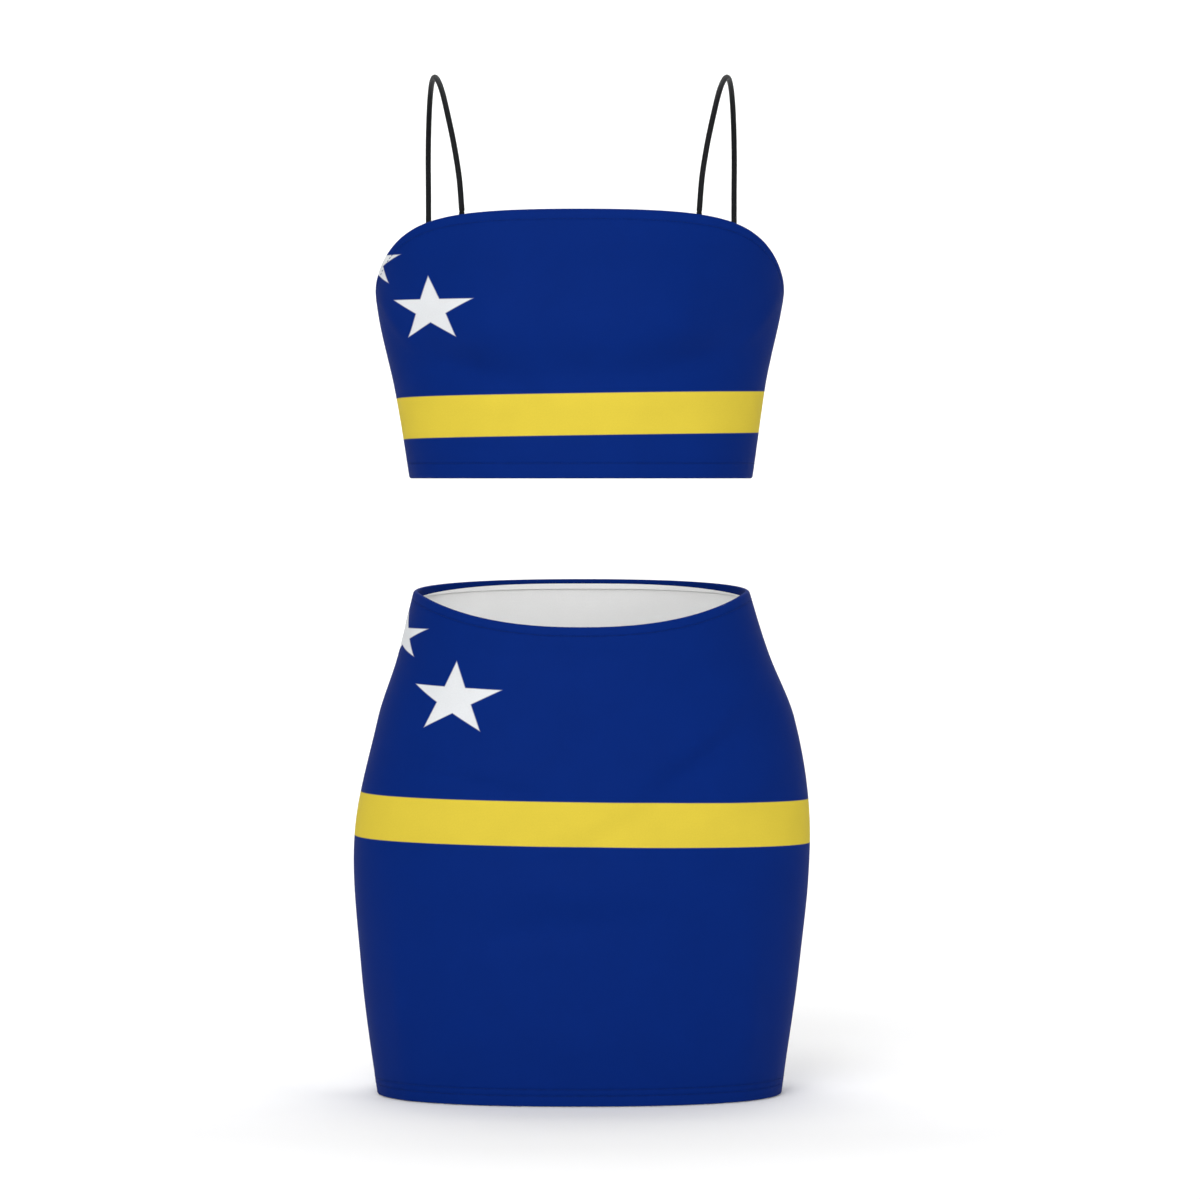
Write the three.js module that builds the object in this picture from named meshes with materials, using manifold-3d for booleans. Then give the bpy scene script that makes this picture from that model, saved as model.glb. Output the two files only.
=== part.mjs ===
// A two-piece cheer uniform in women's size M: a cropped camisole top above a short tube skirt,
// both in the shape that they take on the body.
// Millimetres, +Z up. The front faces -Y, and +X is the wearer's left.
// The origin is under the middle of the skirt, in the plane that its hem stands on.
import * as THREE from "three";
import { mergeVertices } from "three/addons/utils/BufferGeometryUtils.js";
import Module from "manifold-3d";

// Materials and clearances
const cloth = 1.0; // thickness of the knit
const elasticThickness = 1.0;
const gap = 0.3; // clearance between pieces that are sewn together
const threadWidth = 0.6;
const twinNeedle = 5; // distance between the two rows of stitching on the skirt's hem
const overlockThickness = 1.4;
const overlockAngle = 0.022; // half of the width of an overlocked edge, in radians
const seamStandOff = 1.5; // the overlocked edge stands this far off the ply outside it

// Skirt
const skirtLength = 402;
const hemHalfWidth = 162;
const hipHalfWidth = 182.2;
const waistHalfWidth = 134;
const hemDepth = { front: 103, back: 106 };
const hipDepth = { front: 110, back: 116.6 };
const waistDepth = { front: 96, back: 98 };
const waistScoop = 27; // the rim dips this far at the middle of the front
const waistRise = 7; // and rises this far at the middle of the back
const waistCasing = 7; // height of the turned edge that holds the elastic
const waistElasticWidth = 5;
const skirtHem = 14; // height of the turned hem

// Top
const midriffGap = 89.2; // from the skirt's rim at the side seam up to the top's lower edge
const topHeight = 210.4; // at the middle of the front
const underbustHalfWidth = 137;
const bustHalfWidth = 163;
const upperHalfWidth = 161;
const underbustDepth = { front: 96, back: 92 };
const bustDepth = { front: 103, back: 104 };
const upperDepth = { front: 99, back: 101 };
const cup = { x: 72, height: 0.6, lift: 18, dip: 0.25, spreadX: 46, spreadZ: 50 };
const underarmDrop = 62; // the upper edge falls this far from the front to the side seam
const underarmReach = 0.514; // how far round towards the front the scoop under the arm reaches
const backDrop = 8; // and the back is cut this much lower than the front
const topCasing = 8;
const topElasticWidth = 6;
const hemCasing = 12;
const hemElasticWidth = 9.5;

// Straps
const strapDiameter = 4.5;
const strapEndX = { front: 93, back: 124 }; // how far from the middle the two ends are sewn on
const strapStandOff = 3.6; // height above the edge of the point that the strap turns about
const strapTail = { width: 5.4, thickness: 1.6, length: 11 };
const tailClearance = 0.9; // from the inner ply to the strap's tail

// Heights of the named stations, as shares of the garment, and the stations in between: each takes
// its sizes at the given share of the way from the named station below it to the one above.
const hipHeight = 0.52;
const thigh = { height: 0.25, share: 0.661 };
const highHip = { height: 0.745, share: 0.321 };
const lowWaist = { height: 0.87, share: 0.695 };
const bustHeight = 0.7;
const ribs = { height: 0.34, share: 0.42 };

// Shape of the edges: a higher power makes a flatter middle
const waistPower = 1.9;
const underarmPower = 1.56;

// Shape of the facets
const columnsPerPanel = 20;
const skirtRows = 7;
const topRows = 6;
const bluntness = 2.3; // exponent of the superellipse of each section
const seamAngle = 0.0006; // half of the slit between front and back panel, in radians

const mix = (a, b, share) => a + (b - a) * share;

// A smooth curve of value against height through the given stations.
function smoothProfile(heights, values) {
  const last = heights.length - 1;
  const slope = (i) => {
    const below = Math.max(i - 1, 0);
    const above = Math.min(i + 1, last);
    return (values[above] - values[below]) / (heights[above] - heights[below]);
  };
  return (z) => {
    let i = 0;
    while (i < last - 1 && z > heights[i + 1]) i += 1;
    const span = heights[i + 1] - heights[i];
    const t = (z - heights[i]) / span;
    const ease = t * t * (3 - 2 * t);
    return (
      mix(values[i], values[i + 1], ease) +
      span * t * (1 - t) * ((1 - t) * slope(i) - t * slope(i + 1))
    );
  };
}

// A body is its half width and its depth in front and behind, each against height.
function makeBody(stations, bulge = () => 0) {
  const heights = stations.map((s) => s.z);
  const profile = (key) => smoothProfile(heights, stations.map((s) => s[key]));
  return {
    halfWidth: profile("halfWidth"),
    front: profile("front"),
    back: profile("back"),
    bulge,
  };
}

// A point on a body's surface, or inset from it. Angle 0 is the left side seam, and 90 degrees is the front.
function pointOn(body, angle, z, inset) {
  const power = 2 / bluntness;
  const across = Math.sign(Math.cos(angle)) * Math.abs(Math.cos(angle)) ** power;
  const forward = Math.sign(Math.sin(angle)) * Math.abs(Math.sin(angle)) ** power;
  const depth = forward > 0 ? body.front(z) : body.back(z);
  const lift = body.bulge(body.halfWidth(z) * across, z) * Math.max(forward, 0);
  return new THREE.Vector3(
    (body.halfWidth(z) - inset) * across,
    -(depth - inset) * forward - lift,
    z,
  );
}

// A station whose sizes lie between those of two others.
function between(low, high, z, { share }) {
  return {
    z,
    halfWidth: mix(low.halfWidth, high.halfWidth, share),
    front: mix(low.front, high.front, share),
    back: mix(low.back, high.back, share),
  };
}

const hemStation = { z: 0, halfWidth: hemHalfWidth, ...hemDepth };
const hipStation = { z: hipHeight * skirtLength, halfWidth: hipHalfWidth, ...hipDepth };
const waistStation = { z: skirtLength, halfWidth: waistHalfWidth, ...waistDepth };
const skirtBody = makeBody([
  hemStation,
  between(hemStation, hipStation, thigh.height * skirtLength, thigh),
  hipStation,
  between(hipStation, waistStation, highHip.height * skirtLength, highHip),
  between(hipStation, waistStation, lowWaist.height * skirtLength, lowWaist),
  waistStation,
]);

const topHem = skirtLength + midriffGap;
const atTop = (share) => topHem + share * topHeight;
const underbustStation = { z: topHem, halfWidth: underbustHalfWidth, ...underbustDepth };
const bustStation = { z: atTop(bustHeight), halfWidth: bustHalfWidth, ...bustDepth };
const upperStation = { z: atTop(1), halfWidth: upperHalfWidth, ...upperDepth };
// The cups lift the cloth at the front, and it spans the dip between them.
function cupLift(x, z) {
  const upwards = (z - atTop(cup.height)) / cup.spreadZ;
  const outwards = Math.max(Math.abs(x) - cup.x, 0) / cup.spreadX;
  const fromMiddle = Math.min(Math.abs(x) / cup.x, 1);
  const bridge = 1 - cup.dip * (1 - fromMiddle * fromMiddle) ** 2;
  return cup.lift * bridge * Math.exp(-outwards * outwards - upwards * upwards);
}
const topBody = makeBody(
  [
    underbustStation,
    between(underbustStation, bustStation, atTop(ribs.height), ribs),
    bustStation,
    upperStation,
  ],
  cupLift,
);

// The waist dips at the front and rises a little at the back.
function skirtRim(angle) {
  const forward = Math.sin(angle);
  return forward > 0
    ? skirtLength - waistScoop * forward ** waistPower
    : skirtLength - waistRise * forward;
}

// How far the scoop under the arm has taken the upper edge down: 1 at the side seam, 0 in the middle.
const fallOff = (share) => Math.exp(-((share / underarmReach) ** underarmPower));
const scoopAt = (angle) =>
  (fallOff(Math.abs(Math.sin(angle))) - fallOff(1)) / (1 - fallOff(1));

// The upper edge is highest at the middle of the front, and the back is cut a little lower.
function topRim(angle) {
  const scoop = scoopAt(angle);
  const back = Math.sin(angle) < 0 ? backDrop * (1 - scoop) : 0;
  return atTop(1) - underarmDrop * scoop - back;
}

// Heights of the rows of facets at one angle, with one row at each line of stitching.
function rowsBetween(bottom, lowerBand, upperBand, rim, rows) {
  const first = bottom + lowerBand;
  const last = rim - upperBand;
  const middle = Array.from({ length: rows + 1 }, (_, i) => mix(first, last, i / rows));
  return [bottom, ...middle, rim];
}
const skirtLevels = (angle) => rowsBetween(0, skirtHem, waistCasing, skirtRim(angle), skirtRows);
const topLevels = (angle) => rowsBetween(topHem, hemCasing, topCasing, topRim(angle), topRows);

// Sections are closed outlines of [inset, height], up the outside first.
const casingDepth = 2 * cloth + 2 * gap + elasticThickness;
const firstInside = cloth + gap;

// The cloth turned in over an elastic. Reach is the height of the inner ply, negative below an upper edge.
function turnedEdge(edge, reach) {
  const inside = edge + Math.sign(reach) * cloth;
  return [
    [casingDepth, edge],
    [casingDepth, edge + reach],
    [casingDepth - cloth, edge + reach],
    [casingDepth - cloth, inside],
    [cloth, inside],
  ];
}

function skirtPanelSection(angle) {
  const levels = skirtLevels(angle);
  const inner = levels.slice(1, -1).reverse();
  return [
    ...levels.map((z) => [0, z]),
    ...turnedEdge(levels.at(-1), -waistCasing),
    ...inner.map((z) => [cloth, z]),
    [2 * cloth, skirtHem],
    [2 * cloth, 0],
  ];
}

function topPanelSection(angle) {
  const levels = topLevels(angle);
  const inner = levels.slice(1, -1).reverse();
  return [
    ...levels.map((z) => [0, z]),
    ...turnedEdge(levels.at(-1), -topCasing),
    ...inner.map((z) => [cloth, z]),
    ...turnedEdge(topHem, hemCasing).reverse(),
  ];
}

// A ply that lies between two insets, over the given heights.
function plySection(outer, inner, heights) {
  const downwards = [...heights].reverse();
  return [...heights.map((z) => [outer, z]), ...downwards.map((z) => [inner, z])];
}

// The lining fills the field between the two casings, behind the outer ply.
function liningSection(angle) {
  const field = topLevels(angle).slice(1, -1);
  field[0] += gap;
  field[field.length - 1] -= gap;
  return plySection(firstInside, firstInside + cloth, field);
}

function elasticSection(edge, direction, width) {
  const near = edge + direction * (cloth + gap);
  const heights = [near, near + direction * width].sort((a, b) => a - b);
  return plySection(firstInside, firstInside + elasticThickness, heights);
}

// One row of stitching, on the outside of the cloth.
const threadSection = (z) =>
  plySection(-gap - threadWidth, -gap, [z - threadWidth / 2, z + threadWidth / 2]);

// The flat end of a sweep, divided into triangles in its own upright plane.
function capTriangles(body, section, angle) {
  const outline = section.map(([inset, z]) => {
    const point = pointOn(body, angle, z, inset);
    return new THREE.Vector2(Math.hypot(point.x, point.y), z);
  });
  return THREE.ShapeUtils.triangulateShape(outline, []);
}

// Sweeps a section round a body through the given angles. A closed ring has no ends.
// Every ply splits its four-sided facets along the same diagonal, so neighbouring plies stay parallel.
function wrapAround(body, sectionAt, angles, closed = false) {
  const sections = angles.map(sectionAt);
  const count = sections[0].length;
  const positions = sections.flatMap((section, i) =>
    section.flatMap(([inset, z]) => pointOn(body, angles[i], z, inset).toArray()),
  );
  const indices = [];
  const strips = closed ? angles.length : angles.length - 1;
  for (let i = 0; i < strips; i += 1) {
    const here = i * count;
    const next = ((i + 1) % angles.length) * count;
    for (let j = 0; j < count; j += 1) {
      const k = (j + 1) % count;
      const upwards = sections[i][k][1] > sections[i][j][1];
      indices.push(here + j, here + k, upwards ? next + k : next + j);
      indices.push(upwards ? here + j : here + k, next + k, next + j);
    }
  }
  if (!closed) {
    const end = (angles.length - 1) * count;
    for (const [a, b, c] of capTriangles(body, sections[0], angles[0])) indices.push(c, b, a);
    for (const [a, b, c] of capTriangles(body, sections.at(-1), angles.at(-1)))
      indices.push(end + a, end + b, end + c);
  }
  const geometry = new THREE.BufferGeometry();
  geometry.setAttribute("position", new THREE.Float32BufferAttribute(positions, 3));
  geometry.setIndex(indices);
  geometry.computeVertexNormals();
  return geometry;
}

const columnAngles = (from, columns) =>
  Array.from({ length: columns + 1 }, (_, i) => from + (i * Math.PI) / columnsPerPanel);

// The angles of half a garment, with its two ends drawn back from the side seams.
function panelAngles(from) {
  const angles = columnAngles(from, columnsPerPanel);
  angles[0] += seamAngle;
  angles[columnsPerPanel] -= seamAngle;
  return angles;
}
const frontAngles = panelAngles(0);
const backAngles = panelAngles(Math.PI);
const ringAngles = columnAngles(0, 2 * columnsPerPanel - 1);

// Finishes
const finish = (color, roughness) =>
  new THREE.MeshStandardMaterial({ color, roughness, metalness: 0 });
const blueKnit = finish("#0b2972", 0.6);
const whiteKnit = finish("#dedfe0", 0.75);
const whiteElastic = finish("#e9e9e6", 0.8);
const blueThread = finish("#0d2b78", 0.5);
const whiteThread = finish("#e4e4e2", 0.7);
const blackCord = finish("#1b1d22", 0.55);

function namedMesh(name, geometry, material) {
  const mesh = new THREE.Mesh(geometry, material);
  mesh.name = name;
  return mesh;
}

// Skirt
const skirt = new THREE.Group();
const skirtElasticSection = (angle) => elasticSection(skirtRim(angle), -1, waistElasticWidth);
skirt.add(
  namedMesh("skirt_front_panel", wrapAround(skirtBody, skirtPanelSection, frontAngles), blueKnit),
  namedMesh("skirt_back_panel", wrapAround(skirtBody, skirtPanelSection, backAngles), blueKnit),
  namedMesh(
    "skirt_waist_elastic",
    wrapAround(skirtBody, skirtElasticSection, ringAngles, true),
    whiteElastic,
  ),
);

// Top
const top = new THREE.Group();
const upperElasticSection = (angle) => elasticSection(topRim(angle), -1, topElasticWidth);
const hemElasticSection = () => elasticSection(topHem, 1, hemElasticWidth);
top.add(
  namedMesh("top_front_panel", wrapAround(topBody, topPanelSection, frontAngles), blueKnit),
  namedMesh("top_back_panel", wrapAround(topBody, topPanelSection, backAngles), blueKnit),
  namedMesh("top_front_lining", wrapAround(topBody, liningSection, frontAngles), whiteKnit),
  namedMesh("top_back_lining", wrapAround(topBody, liningSection, backAngles), whiteKnit),
  namedMesh(
    "top_upper_elastic",
    wrapAround(topBody, upperElasticSection, ringAngles, true),
    whiteElastic,
  ),
  namedMesh(
    "top_hem_elastic",
    wrapAround(topBody, hemElasticSection, ringAngles, true),
    whiteElastic,
  ),
);

// Rows of stitching that hold the turned edges
function addStitching(group, name, body, heightAt) {
  const section = (angle) => threadSection(heightAt(angle));
  group.add(namedMesh(name, wrapAround(body, section, ringAngles, true), blueThread));
}
addStitching(skirt, "skirt_waist_stitching", skirtBody, (a) => skirtRim(a) - waistCasing);
addStitching(skirt, "skirt_hem_upper_stitching", skirtBody, () => skirtHem - threadWidth);
addStitching(skirt, "skirt_hem_lower_stitching", skirtBody, () => skirtHem - threadWidth - twinNeedle);
addStitching(top, "top_upper_stitching", topBody, (a) => topRim(a) - topCasing);
addStitching(top, "top_hem_stitching", topBody, () => topHem + hemCasing);

// Overlocked edges of the side seams, inside the garment
function addSideSeams(group, garment, body, sectionAt) {
  for (const [side, middle] of [["left", 0], ["right", Math.PI]]) {
    const angles = [middle - overlockAngle, middle, middle + overlockAngle];
    const geometry = wrapAround(body, sectionAt, angles);
    group.add(namedMesh(`${garment}_${side}_seam_overlock`, geometry, whiteThread));
  }
}
function overlockSection(levels, plies) {
  const outer = plies + seamStandOff;
  const field = levels.slice(1, -1);
  field[0] += gap;
  field[field.length - 1] -= gap;
  return plySection(outer, outer + overlockThickness, field);
}
addSideSeams(skirt, "skirt", skirtBody, (a) => overlockSection(skirtLevels(a), cloth));
addSideSeams(top, "top", topBody, (a) => overlockSection(topLevels(a), firstInside + cloth));

// Straps
const wasm = await Module();
wasm.setup();

function solidOf(geometry) {
  geometry.deleteAttribute("normal");
  geometry.deleteAttribute("uv");
  const merged = mergeVertices(geometry, 1e-4);
  return new wasm.Manifold(
    new wasm.Mesh({
      numProp: 3,
      vertProperties: merged.attributes.position.array,
      triVerts: new Uint32Array(merged.index.array),
    }),
  );
}

function geometryOf(solid) {
  const mesh = solid.getMesh();
  const geometry = new THREE.BufferGeometry();
  geometry.setAttribute("position", new THREE.BufferAttribute(mesh.vertProperties, 3));
  geometry.setIndex(new THREE.BufferAttribute(mesh.triVerts, 1));
  return geometry;
}

// A sewn end of the left strap: its angle round the top, and the point that the strap turns about.
function strapEnd(x, half) {
  const inset = casingDepth + tailClearance + strapTail.thickness / 2;
  let angle = 0;
  for (let pass = 0; pass < 4; pass += 1) {
    const reach = topBody.halfWidth(topRim(angle)) - inset;
    angle = half * Math.acos((x / reach) ** (bluntness / 2));
  }
  const point = pointOn(topBody, angle, topRim(angle), inset);
  point.z += strapStandOff;
  return { angle, point };
}
const frontEnd = strapEnd(strapEndX.front, 1);
const backEnd = strapEnd(strapEndX.back, -1);

// The left strap's way over the shoulder between its ends: x, y and the height above the front edge.
const strapRoute = [
  [95, -84, 25],
  [99, -85, 50.5],
  [104, -78, 74],
  [109, -60, 94],
  [114, -34, 106],
  [118, -4, 108],
  [121, 26, 99],
  [123, 49, 79],
  [124, 61, 50.5],
  [124, 66, 18.5],
];

// A round cord along the route, with a ball at each end where it turns in its stitching.
function strapGeometry(side) {
  const route = strapRoute.map(([x, y, rise]) => new THREE.Vector3(x, y, atTop(1) + rise));
  const points = [frontEnd.point, ...route, backEnd.point];
  const mirrored = points.map(({ x, y, z }) => new THREE.Vector3(side * x, y, z));
  const circle = new THREE.Shape().absarc(0, 0, strapDiameter / 2, 0, 2 * Math.PI);
  const cord = new THREE.ExtrudeGeometry(circle, {
    steps: 26,
    curveSegments: 4,
    extrudePath: new THREE.CatmullRomCurve3(mirrored),
  });
  const ballAt = (point) =>
    new THREE.SphereGeometry(strapDiameter / 2, 8, 6).translate(...point.toArray());
  return geometryOf(
    solidOf(cord).add(solidOf(ballAt(mirrored[0]))).add(solidOf(ballAt(mirrored.at(-1)))),
  );
}

// The flat end of a strap lies on the inner ply, under the strap's ball.
function tailGeometry({ angle, point }, side) {
  const outer = casingDepth + tailClearance;
  const upper = point.z - strapDiameter / 2 - gap;
  const section = () =>
    plySection(outer, outer + strapTail.thickness, [upper - strapTail.length, upper]);
  const middle = side > 0 ? angle : Math.PI - angle;
  const half = strapTail.width / 2 / topBody.halfWidth(upper);
  return wrapAround(topBody, section, [middle - half, middle + half]);
}

for (const [name, side] of [["left", 1], ["right", -1]]) {
  top.add(
    namedMesh(`${name}_strap`, strapGeometry(side), blackCord),
    namedMesh(`${name}_front_strap_tail`, tailGeometry(frontEnd, side), blackCord),
    namedMesh(`${name}_back_strap_tail`, tailGeometry(backEnd, side), blackCord),
  );
}

const uniform = new THREE.Group();
uniform.add(skirt, top);

export default uniform;
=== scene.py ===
# %% [markdown]
# # A two-piece cheer uniform
# The set is a cropped camisole top and a short tube skirt. Both are sewn from a stretchy polyester
# knit that is white underneath, with the blue, yellow and white pattern printed on its face.
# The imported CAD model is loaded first. It fixes the size and the joints, and each Blender piece
# is built over the CAD solid that it stands for, in the same coordinates.

import math

import bpy
import numpy as np
from mathutils import Matrix, Vector


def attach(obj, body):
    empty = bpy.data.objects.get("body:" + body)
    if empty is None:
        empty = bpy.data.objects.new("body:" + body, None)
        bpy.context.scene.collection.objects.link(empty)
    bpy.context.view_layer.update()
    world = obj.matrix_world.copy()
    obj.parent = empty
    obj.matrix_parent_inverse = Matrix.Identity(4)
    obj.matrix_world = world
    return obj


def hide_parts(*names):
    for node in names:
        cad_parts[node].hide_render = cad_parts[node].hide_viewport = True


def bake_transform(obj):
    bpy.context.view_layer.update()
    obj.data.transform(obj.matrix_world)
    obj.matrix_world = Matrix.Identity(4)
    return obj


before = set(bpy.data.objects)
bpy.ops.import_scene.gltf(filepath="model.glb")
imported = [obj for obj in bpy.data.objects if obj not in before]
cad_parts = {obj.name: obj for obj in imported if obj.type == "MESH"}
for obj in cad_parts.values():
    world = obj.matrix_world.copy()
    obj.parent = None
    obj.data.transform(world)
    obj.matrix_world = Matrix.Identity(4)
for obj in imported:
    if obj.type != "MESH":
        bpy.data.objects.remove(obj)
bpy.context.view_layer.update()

# %% [markdown]
# ## The camera
# Clothing is best seen through a long lens from a few metres away, at the height of the waist, so
# that its proportions stay true. The camera stands straight in front of the uniform, which stands a
# little left of the middle of the view.

# %% Place the camera
CAMERA_DISTANCE = 4.1
CAMERA_HEIGHT = 0.490
AIM_HEIGHT = 0.394
ASIDE = 0.0152
SENSOR = 36  # millimetres
VIEW_WIDTH = 0.96  # metres that the view takes in at the uniform


def aimed(location, target):
    """The turn that points a camera or a light from one place to another."""
    return (Vector(target) - Vector(location)).to_track_quat("-Z", "Y").to_euler()


bpy.ops.object.select_all(action="DESELECT")
camera_place = (ASIDE, -CAMERA_DISTANCE, CAMERA_HEIGHT)
camera_turn = aimed(camera_place, (ASIDE, 0, AIM_HEIGHT))
bpy.ops.object.camera_add(location=camera_place, rotation=camera_turn)
camera = bpy.context.object
camera.name = "camera"
camera.data.sensor_width = SENSOR
camera.data.lens = SENSOR * CAMERA_DISTANCE / VIEW_WIDTH
camera.data.clip_end = 50
bpy.context.scene.camera = camera
print("lens:", round(camera.data.lens, 1), "mm")

# %% [markdown]
# ## The shape that the cloth is stretched over
# The knit takes the shape of the wearer, so the curved sheets can't be made from flat ones by hand.
# They are placed by formula. A section through the body is a blunt ellipse, and a smooth curve gives
# its half width and its depth at each height. The top also has two low mounds over the bust, with
# the cloth bridging the dip between them. All sizes are in millimetres and are turned to metres last.

# %% Sizes of the garments
MM = 0.001
BLUNTNESS = 2.3
SKIRT_LENGTH = 402
TOP_HEM = 491.2
TOP_HEIGHT = 210.4
WAIST_SCOOP = 27
WAIST_POWER = 1.9
WAIST_RISE = 7
UNDERARM_DROP = 62
UNDERARM_REACH = 0.514
UNDERARM_POWER = 1.56
BACK_DROP = 8
BUST_X = 72  # how far from the middle the bust is fullest
BUST_HEIGHT = 0.6  # as a share of the top's height
BUST_LIFT = 18
BUST_DIP = 0.25  # share of the lift that is lost in the middle
BUST_SPREAD = (46, 50)  # outwards and upwards


def mix(a, b, share):
    return a + (b - a) * share


def between(low, high, share):
    """Half width and the two depths of a station that lies between two others."""
    return tuple(mix(a, b, share) for a, b in zip(low, high))


def smooth_curve(heights, values):
    """A smooth curve of value against height through the given stations."""
    last = len(heights) - 1

    def slope(i):
        below = max(i - 1, 0)
        above = min(i + 1, last)
        return (values[above] - values[below]) / (heights[above] - heights[below])

    def at(z):
        i = 0
        while i < last - 1 and z > heights[i + 1]:
            i += 1
        span = heights[i + 1] - heights[i]
        t = (z - heights[i]) / span
        ease = t * t * (3 - 2 * t)
        bend = (1 - t) * slope(i) - t * slope(i + 1)
        return mix(values[i], values[i + 1], ease) + span * t * (1 - t) * bend

    return at


# Each station is (half width, depth in front, depth behind).
hem_size = (162, 103, 106)
hip_size = (182.2, 110, 116.6)
waist_size = (134, 96, 98)
skirt_stations = {
    0: hem_size,
    0.25 * SKIRT_LENGTH: between(hem_size, hip_size, 0.661),
    0.52 * SKIRT_LENGTH: hip_size,
    0.745 * SKIRT_LENGTH: between(hip_size, waist_size, 0.321),
    0.87 * SKIRT_LENGTH: between(hip_size, waist_size, 0.695),
    SKIRT_LENGTH: waist_size,
}
underbust_size = (137, 96, 92)
bust_size = (163, 103, 104)
upper_size = (161, 99, 101)
top_stations = {
    TOP_HEM: underbust_size,
    TOP_HEM + 0.34 * TOP_HEIGHT: between(underbust_size, bust_size, 0.42),
    TOP_HEM + 0.7 * TOP_HEIGHT: bust_size,
    TOP_HEM + TOP_HEIGHT: upper_size,
}


# %% Edges of the garments, and the mounds over the bust
def bell(distance, spread):
    """1 at no distance, falling off smoothly."""
    return math.exp(-((distance / spread) ** 2))


def skirt_rim(angle):
    """The waist dips at the front and rises a little at the back."""
    forward = math.sin(angle)
    if forward > 0:
        return SKIRT_LENGTH - WAIST_SCOOP * forward**WAIST_POWER
    return SKIRT_LENGTH - WAIST_RISE * forward


def fall_off(share):
    return math.exp(-((share / UNDERARM_REACH) ** UNDERARM_POWER))


def top_rim(angle):
    """Highest at the middle of the front, with a scoop under each arm."""
    scoop = (fall_off(abs(math.sin(angle))) - fall_off(1)) / (1 - fall_off(1))
    behind = BACK_DROP * (1 - scoop) if math.sin(angle) < 0 else 0
    return TOP_HEM + TOP_HEIGHT - UNDERARM_DROP * scoop - behind


def skirt_drag(z):
    """The skirt hangs a few millimetres to one side at the hip, as a worn one does."""
    return 4.2 * bell(z - 292, 72) - 1.4 * bell(z - 30, 90)


def top_drag(z):
    return -1.4 * bell(z - 600, 60)


def bust_lift(x, z):
    """How far the bust holds the cloth forward."""
    upwards = (z - TOP_HEM - BUST_HEIGHT * TOP_HEIGHT) / BUST_SPREAD[1]
    outwards = max(abs(x) - BUST_X, 0) / BUST_SPREAD[0]
    from_middle = min(abs(x) / BUST_X, 1)
    bridge = 1 - BUST_DIP * (1 - from_middle**2) ** 2
    return BUST_LIFT * bridge * math.exp(-outwards * outwards - upwards * upwards)


print("waist at the front and back:", skirt_rim(math.pi / 2), skirt_rim(-math.pi / 2), "mm")
print("top at the front and side:", round(top_rim(math.pi / 2), 1), round(top_rim(0.0), 1), "mm")


# %% [markdown]
# Worn knit is never quite smooth. It drags from the widest place towards the waist, gathers in soft
# rolls under the bust, and its hems wave a little. Each of these is one low ridge or hollow with
# rounded sides, given by where it lies, so that any one can be moved or taken out.


# %% A garment, and a point on its surface
class Garment:
    """A tube of cloth: its section against height, its edges, and its soft folds."""

    def __init__(self, stations, rim, hem, lift, drag, reference, folds):
        heights = list(stations)
        sizes = list(stations.values())
        self.half_width = smooth_curve(heights, [s[0] for s in sizes])
        self.front = smooth_curve(heights, [s[1] for s in sizes])
        self.back = smooth_curve(heights, [s[2] for s in sizes])
        self.rim = rim
        self.hem = hem
        self.lift = lift
        self.drag = drag
        self.folds = folds
        self.tables = {side: self.girth_table(side, reference) for side in (1, -1)}

    def bare(self, angle, z, inset=0.0):
        """A point of the body before folds. Angle 0 is the left side seam and pi / 2 the front."""
        power = 2 / BLUNTNESS
        cosine = math.cos(angle)
        sine = math.sin(angle)
        across = math.copysign(abs(cosine) ** power, cosine)
        forward = math.copysign(abs(sine) ** power, sine)
        half_width = self.half_width(z)
        depth = self.front(z) if forward > 0 else self.back(z)
        lift = self.lift(half_width * across, z) * max(forward, 0)
        x = (half_width - inset) * across + self.drag(z)
        return (x, -(depth - inset) * forward - lift, z)

    def girth_table(self, side, z):
        """Angle against distance round the garment from the middle of its front or back."""
        angles = np.linspace(0.0, math.pi, 2001)
        points = np.array([self.bare(side * a, z) for a in angles])
        steps = np.linalg.norm(np.diff(points, axis=0), axis=1)
        girth = np.concatenate(([0], np.cumsum(steps)))
        return angles, girth[len(angles) // 2] - girth

    def angle_at(self, side, share):
        """The angle at a share of the way round, from -1 at the right seam to 1 at the left one."""
        angles, girth = self.tables[side]
        return float(np.interp(-share * girth[0], -girth, angles)) * side

    def girth_at(self, angle):
        """Distance round from the middle, in millimetres: positive on the wearer's left."""
        side = 1 if math.sin(angle) >= 0 else -1
        angles, girth = self.tables[side]
        turned = math.acos(max(-1.0, min(1.0, math.cos(angle))))
        return side, float(np.interp(turned, angles, girth))

    def fold_height(self, angle, z):
        side, girth = self.girth_at(angle)
        height = 0.0
        for at_girth, at_z, length, width, slope, ridge in self.folds[side]:
            right = girth - at_girth
            up = z - at_z
            along = right * math.cos(slope) + up * math.sin(slope)
            over = up * math.cos(slope) - right * math.sin(slope)
            height += ridge * math.exp(-((along / length) ** 2) - (over / width) ** 2)
        return height

    def at(self, angle, z, inset=0.0):
        """A point on the worn garment, in millimetres."""
        return self.bare(angle, z, inset - self.fold_height(angle, z))


# %% The two garments and their folds
FRONT = 1
BEHIND = -1
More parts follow.
